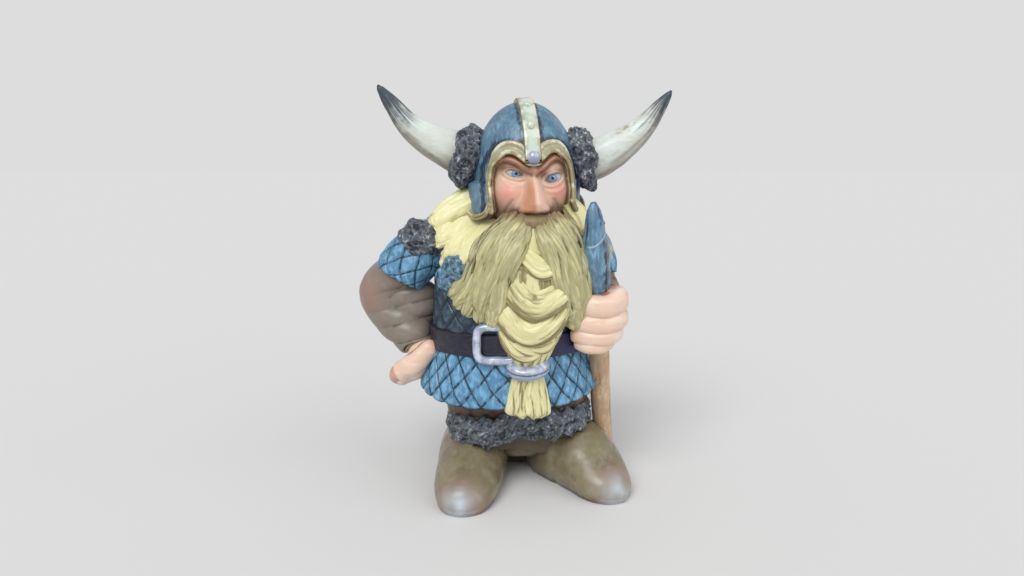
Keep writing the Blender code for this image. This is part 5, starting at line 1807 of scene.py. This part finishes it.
class FIGURINE_OT_axe(PieceOperator, bpy.types.Operator):
    """Makes the axe: the wooden haft and the blue head"""

    bl_idname = "figurine.axe"
    bl_label = "Axe"

    def make(self, sizes, colours):
        wood = painted(
            "Haft paint",
            colours.wood,
            (0.20, 0.10, 0.05),
            (0.86, 0.62, 0.42),
            second=(0.48, 0.27, 0.15),
            stroke=(2.2, 2.2, 0.35),
            scale=420,
            rough=(0.32, 0.5),
            streak=0.45,
            dragged=0.6,
        )
        foot, crown = np.array((26.0, 4.4, -1.0)), np.array((19.5, -16.2, 68.4))
        r = sizes.haft_diameter / UNIT / 2
        rows = [(*(foot + (crown - foot) * t), r, r) for t in (0, 0.25, 0.5, 0.75, 1)]
        haft, points, turn, place = sweep("haft", rows, 48, 230, facing=(0, -1, 0))
        line = np.column_stack([np.cos(turn) * 3, np.sin(turn) * 3, place * 9])
        grain = noise(line, 0.7, 431)
        bend = 0.35 * noise(np.column_stack([place * 3, place * 0, place * 0]), 1, 432)
        points[:, 0] += bend * np.sin(np.pi * place)
        carve(haft, points, 0.12 * grain + 0.1 * layered(points, 4, 433), crest=0.6 + 0.45 * grain)
        FIGURINE_OT_boots.stand_flat(self, haft)
        finish_group("haft", [haft], wood)
        steel = painted(
            "Axe paint",
            colours.helmet_blue,
            (0.015, 0.035, 0.07),
            (0.30, 0.50, 0.70),
            second=(0.045, 0.11, 0.22),
            stroke=(1.8, 1.8, 0.45),
            scale=330,
            rough=(0.22, 0.36),
            streak=0.5,
            dragged=0.6,
            coat=0.2,
            extra=mask_colour("line", (0.55, 0.70, 0.80), 0.8),
        )
        along = (crown - foot) / np.linalg.norm(crown - foot)
        side = np.cross((0.12, 1, 0), along)
        side /= np.linalg.norm(side)
        back = np.cross(along, side)
        eye = np.array((20.2, -13.4, 62.8))
        rows = (
            (-13.2, -1.6, -0.2, 1.4),
            (-12.4, -3.2, 0.4, 2.5),
            (-9.4, -4.8, 1.0, 3.2),
            (-5.0, -5.6, 2.0, 3.4),
            (-3.2, -5.9, 4.6, 3.5),
            (0.0, -6.1, 5.4, 3.5),
            (3.2, -5.8, 4.6, 3.2),
            (5.4, -5.3, 1.6, 2.6),
            (8.4, -4.2, 0.2, 2.2),
            (10.8, -2.8, -0.2, 1.6),
            (12.6, -1.4, -0.4, 0.7),
        )
        obj, turn, rise = ball("axe_head", 96, 120)
        place, close, _ = split_rise(rise, 120, 0, 0)
        path = smooth_path(rows, 200)
        at = place * 199
        height, edge, poll, thick = (np.interp(at, np.arange(200), column) for column in path.T)
        reach = (edge + poll) / 2 + (poll - edge) / 2 * np.cos(turn) * close
        points = (
            eye + along * height[:, None] + back * reach[:, None]
            + side * (thick * np.sin(turn) * close)[:, None]
        )
        bevel = hump(np.cos(turn) + 0.72, 0.08)
        # Painted shade: the blade's flank on the figure's left is washed darker.
        flank = step_up(points[:, 0], 20.9, 22.4)
        line = hump(
            points[:, 2] - 64.2 - 0.2 * (points[:, 0] - 18) ** 2, 0.22
        ) * step_up(points[:, 0], 17.2, 18.2)
        carve(
            obj, points, -0.12 * bevel + 0.08 * layered(points, 2.5, 441),
            crest=0.62 - 0.35 * bevel - 0.35 * flank + 0.4 * layered(points, 2.6, 442), line=line
        )
        finish_group("axe_head", [obj], steel)


# Stage


class FIGURINE_OT_stage(PieceOperator, bpy.types.Operator):
    """Makes the pale floor, the soft lights and the camera"""

    bl_idname = "figurine.stage"
    bl_label = "Stage"

    def make(self, sizes, colours):
        floor = self.floor()
        self.lights()
        self.camera()

    def floor(self):
        bpy.ops.object.select_all(action="DESELECT")
        bpy.ops.mesh.primitive_plane_add(size=40, location=(0, 0, 0))
        floor = bpy.context.object
        floor.name = "floor"
        material = bpy.data.materials.new("Pale floor")
        material.use_nodes = True
        shader = material.node_tree.nodes["Principled BSDF"]
        shader.inputs["Base Color"].default_value = (0.76, 0.76, 0.76, 1)
        shader.inputs["Roughness"].default_value = 1.0
        shader.inputs["Specular IOR Level"].default_value = 0.0
        floor.data.materials.append(material)
        return floor

    def lights(self):
        """A pale room all round, as bright to the eye as the floor, and two soft lamps from in front."""
        scene = bpy.context.scene
        scene.view_settings.view_transform = "Standard"
        world = scene.world or bpy.data.worlds.new("Pale room")
        scene.world = world
        world.use_nodes = True
        tree = world.node_tree
        lighting = tree.nodes["Background"]
        lighting.inputs["Color"].default_value = (1.0, 1.0, 1.0, 1)
        lighting.inputs["Strength"].default_value = 0.52
        seen = add_node(tree, "ShaderNodeBackground", (0, 3))
        seen.inputs["Color"].default_value = (0.723, 0.723, 0.723, 1)
        path = add_node(tree, "ShaderNodeLightPath", (0, -2))
        mix = add_node(tree, "ShaderNodeMixShader", (2, 0))
        tree.links.new(path.outputs["Is Camera Ray"], mix.inputs[0])
        tree.links.new(lighting.outputs[0], mix.inputs[1])
        tree.links.new(seen.outputs[0], mix.inputs[2])
        tree.links.new(mix.outputs[0], tree.nodes["World Output"].inputs[0])
        for name, direction, angle, strength in (
            ("key", (-0.35, -0.72, 0.85), 34, 1.45), ("fill", (0.75, -0.45, 0.55), 60, 0.62)
        ):
            bpy.ops.object.light_add(type="SUN", location=direction)
            lamp = bpy.context.object
            lamp.name = name
            lamp.data.angle = math.radians(angle)
            lamp.data.energy = strength
            lamp.rotation_euler = (-Vector(direction)).to_track_quat("-Z", "Y").to_euler()

    def camera(self):
        target = Vector((-HEEL_WEB[0], -HEEL_WEB[1], 51.2)) * UNIT
        rise = math.radians(10)
        away = Vector((0, -math.cos(rise), math.sin(rise))) * 183.5 * UNIT
        bpy.ops.object.camera_add(location=target + away)
        camera = bpy.context.object
        camera.rotation_euler = (-away).to_track_quat("-Z", "Y").to_euler()
        camera.data.sensor_width = 36
        camera.data.lens = 18 / (math.tan(math.radians(22.5)) * 16 / 9)
        camera.data.clip_start = 0.01
        bpy.context.scene.camera = camera


class FIGURINE_PT_panel(bpy.types.Panel):
    """Lists the pieces, sizes and paints"""

    bl_idname = "FIGURINE_PT_panel"
    bl_label = "Viking Figurine"
    bl_space_type = "VIEW_3D"
    bl_region_type = "UI"
    bl_category = "Figurine"

    def draw(self, context):
        layout = self.layout
        for group in (context.scene.figure_sizes, context.scene.figure_colours):
            box = layout.box()
            for name in group.__annotations__:
                box.prop(group, name)
        for operator in OPERATORS:
            layout.operator(operator.bl_idname)


OPERATORS = (
    FIGURINE_OT_stage,
    FIGURINE_OT_helmet,
    FIGURINE_OT_helmet_trim,
    FIGURINE_OT_fur,
    FIGURINE_OT_horns,
    FIGURINE_OT_face,
    FIGURINE_OT_moustache,
    FIGURINE_OT_beard,
    FIGURINE_OT_hair,
    FIGURINE_OT_tunic,
    FIGURINE_OT_belt,
    FIGURINE_OT_sleeves,
    FIGURINE_OT_hands,
    FIGURINE_OT_breeches,
    FIGURINE_OT_cuff,
    FIGURINE_OT_boots,
    FIGURINE_OT_axe,
)
CLASSES = (FigureSizes, FigureColours, *OPERATORS, FIGURINE_PT_panel)


def register():
    for cls in CLASSES:
        bpy.utils.register_class(cls)
    bpy.types.Scene.figure_sizes = bpy.props.PointerProperty(type=FigureSizes)
    bpy.types.Scene.figure_colours = bpy.props.PointerProperty(type=FigureColours)


def unregister():
    del bpy.types.Scene.figure_colours
    del bpy.types.Scene.figure_sizes
    for cls in reversed(CLASSES):
        bpy.utils.unregister_class(cls)


def main():
    register()
    bpy.ops.figurine.stage()
    bpy.ops.figurine.helmet()
    bpy.ops.figurine.helmet_trim()
    bpy.ops.figurine.fur()
    bpy.ops.figurine.horns()
    bpy.ops.figurine.face()
    bpy.ops.figurine.moustache()
    bpy.ops.figurine.beard()
    bpy.ops.figurine.hair()
    bpy.ops.figurine.tunic()
    bpy.ops.figurine.belt()
    bpy.ops.figurine.sleeves()
    bpy.ops.figurine.hands()
    bpy.ops.figurine.breeches()
    bpy.ops.figurine.cuff()
    bpy.ops.figurine.boots()
    bpy.ops.figurine.axe()


if __name__ == "__main__":
    main()
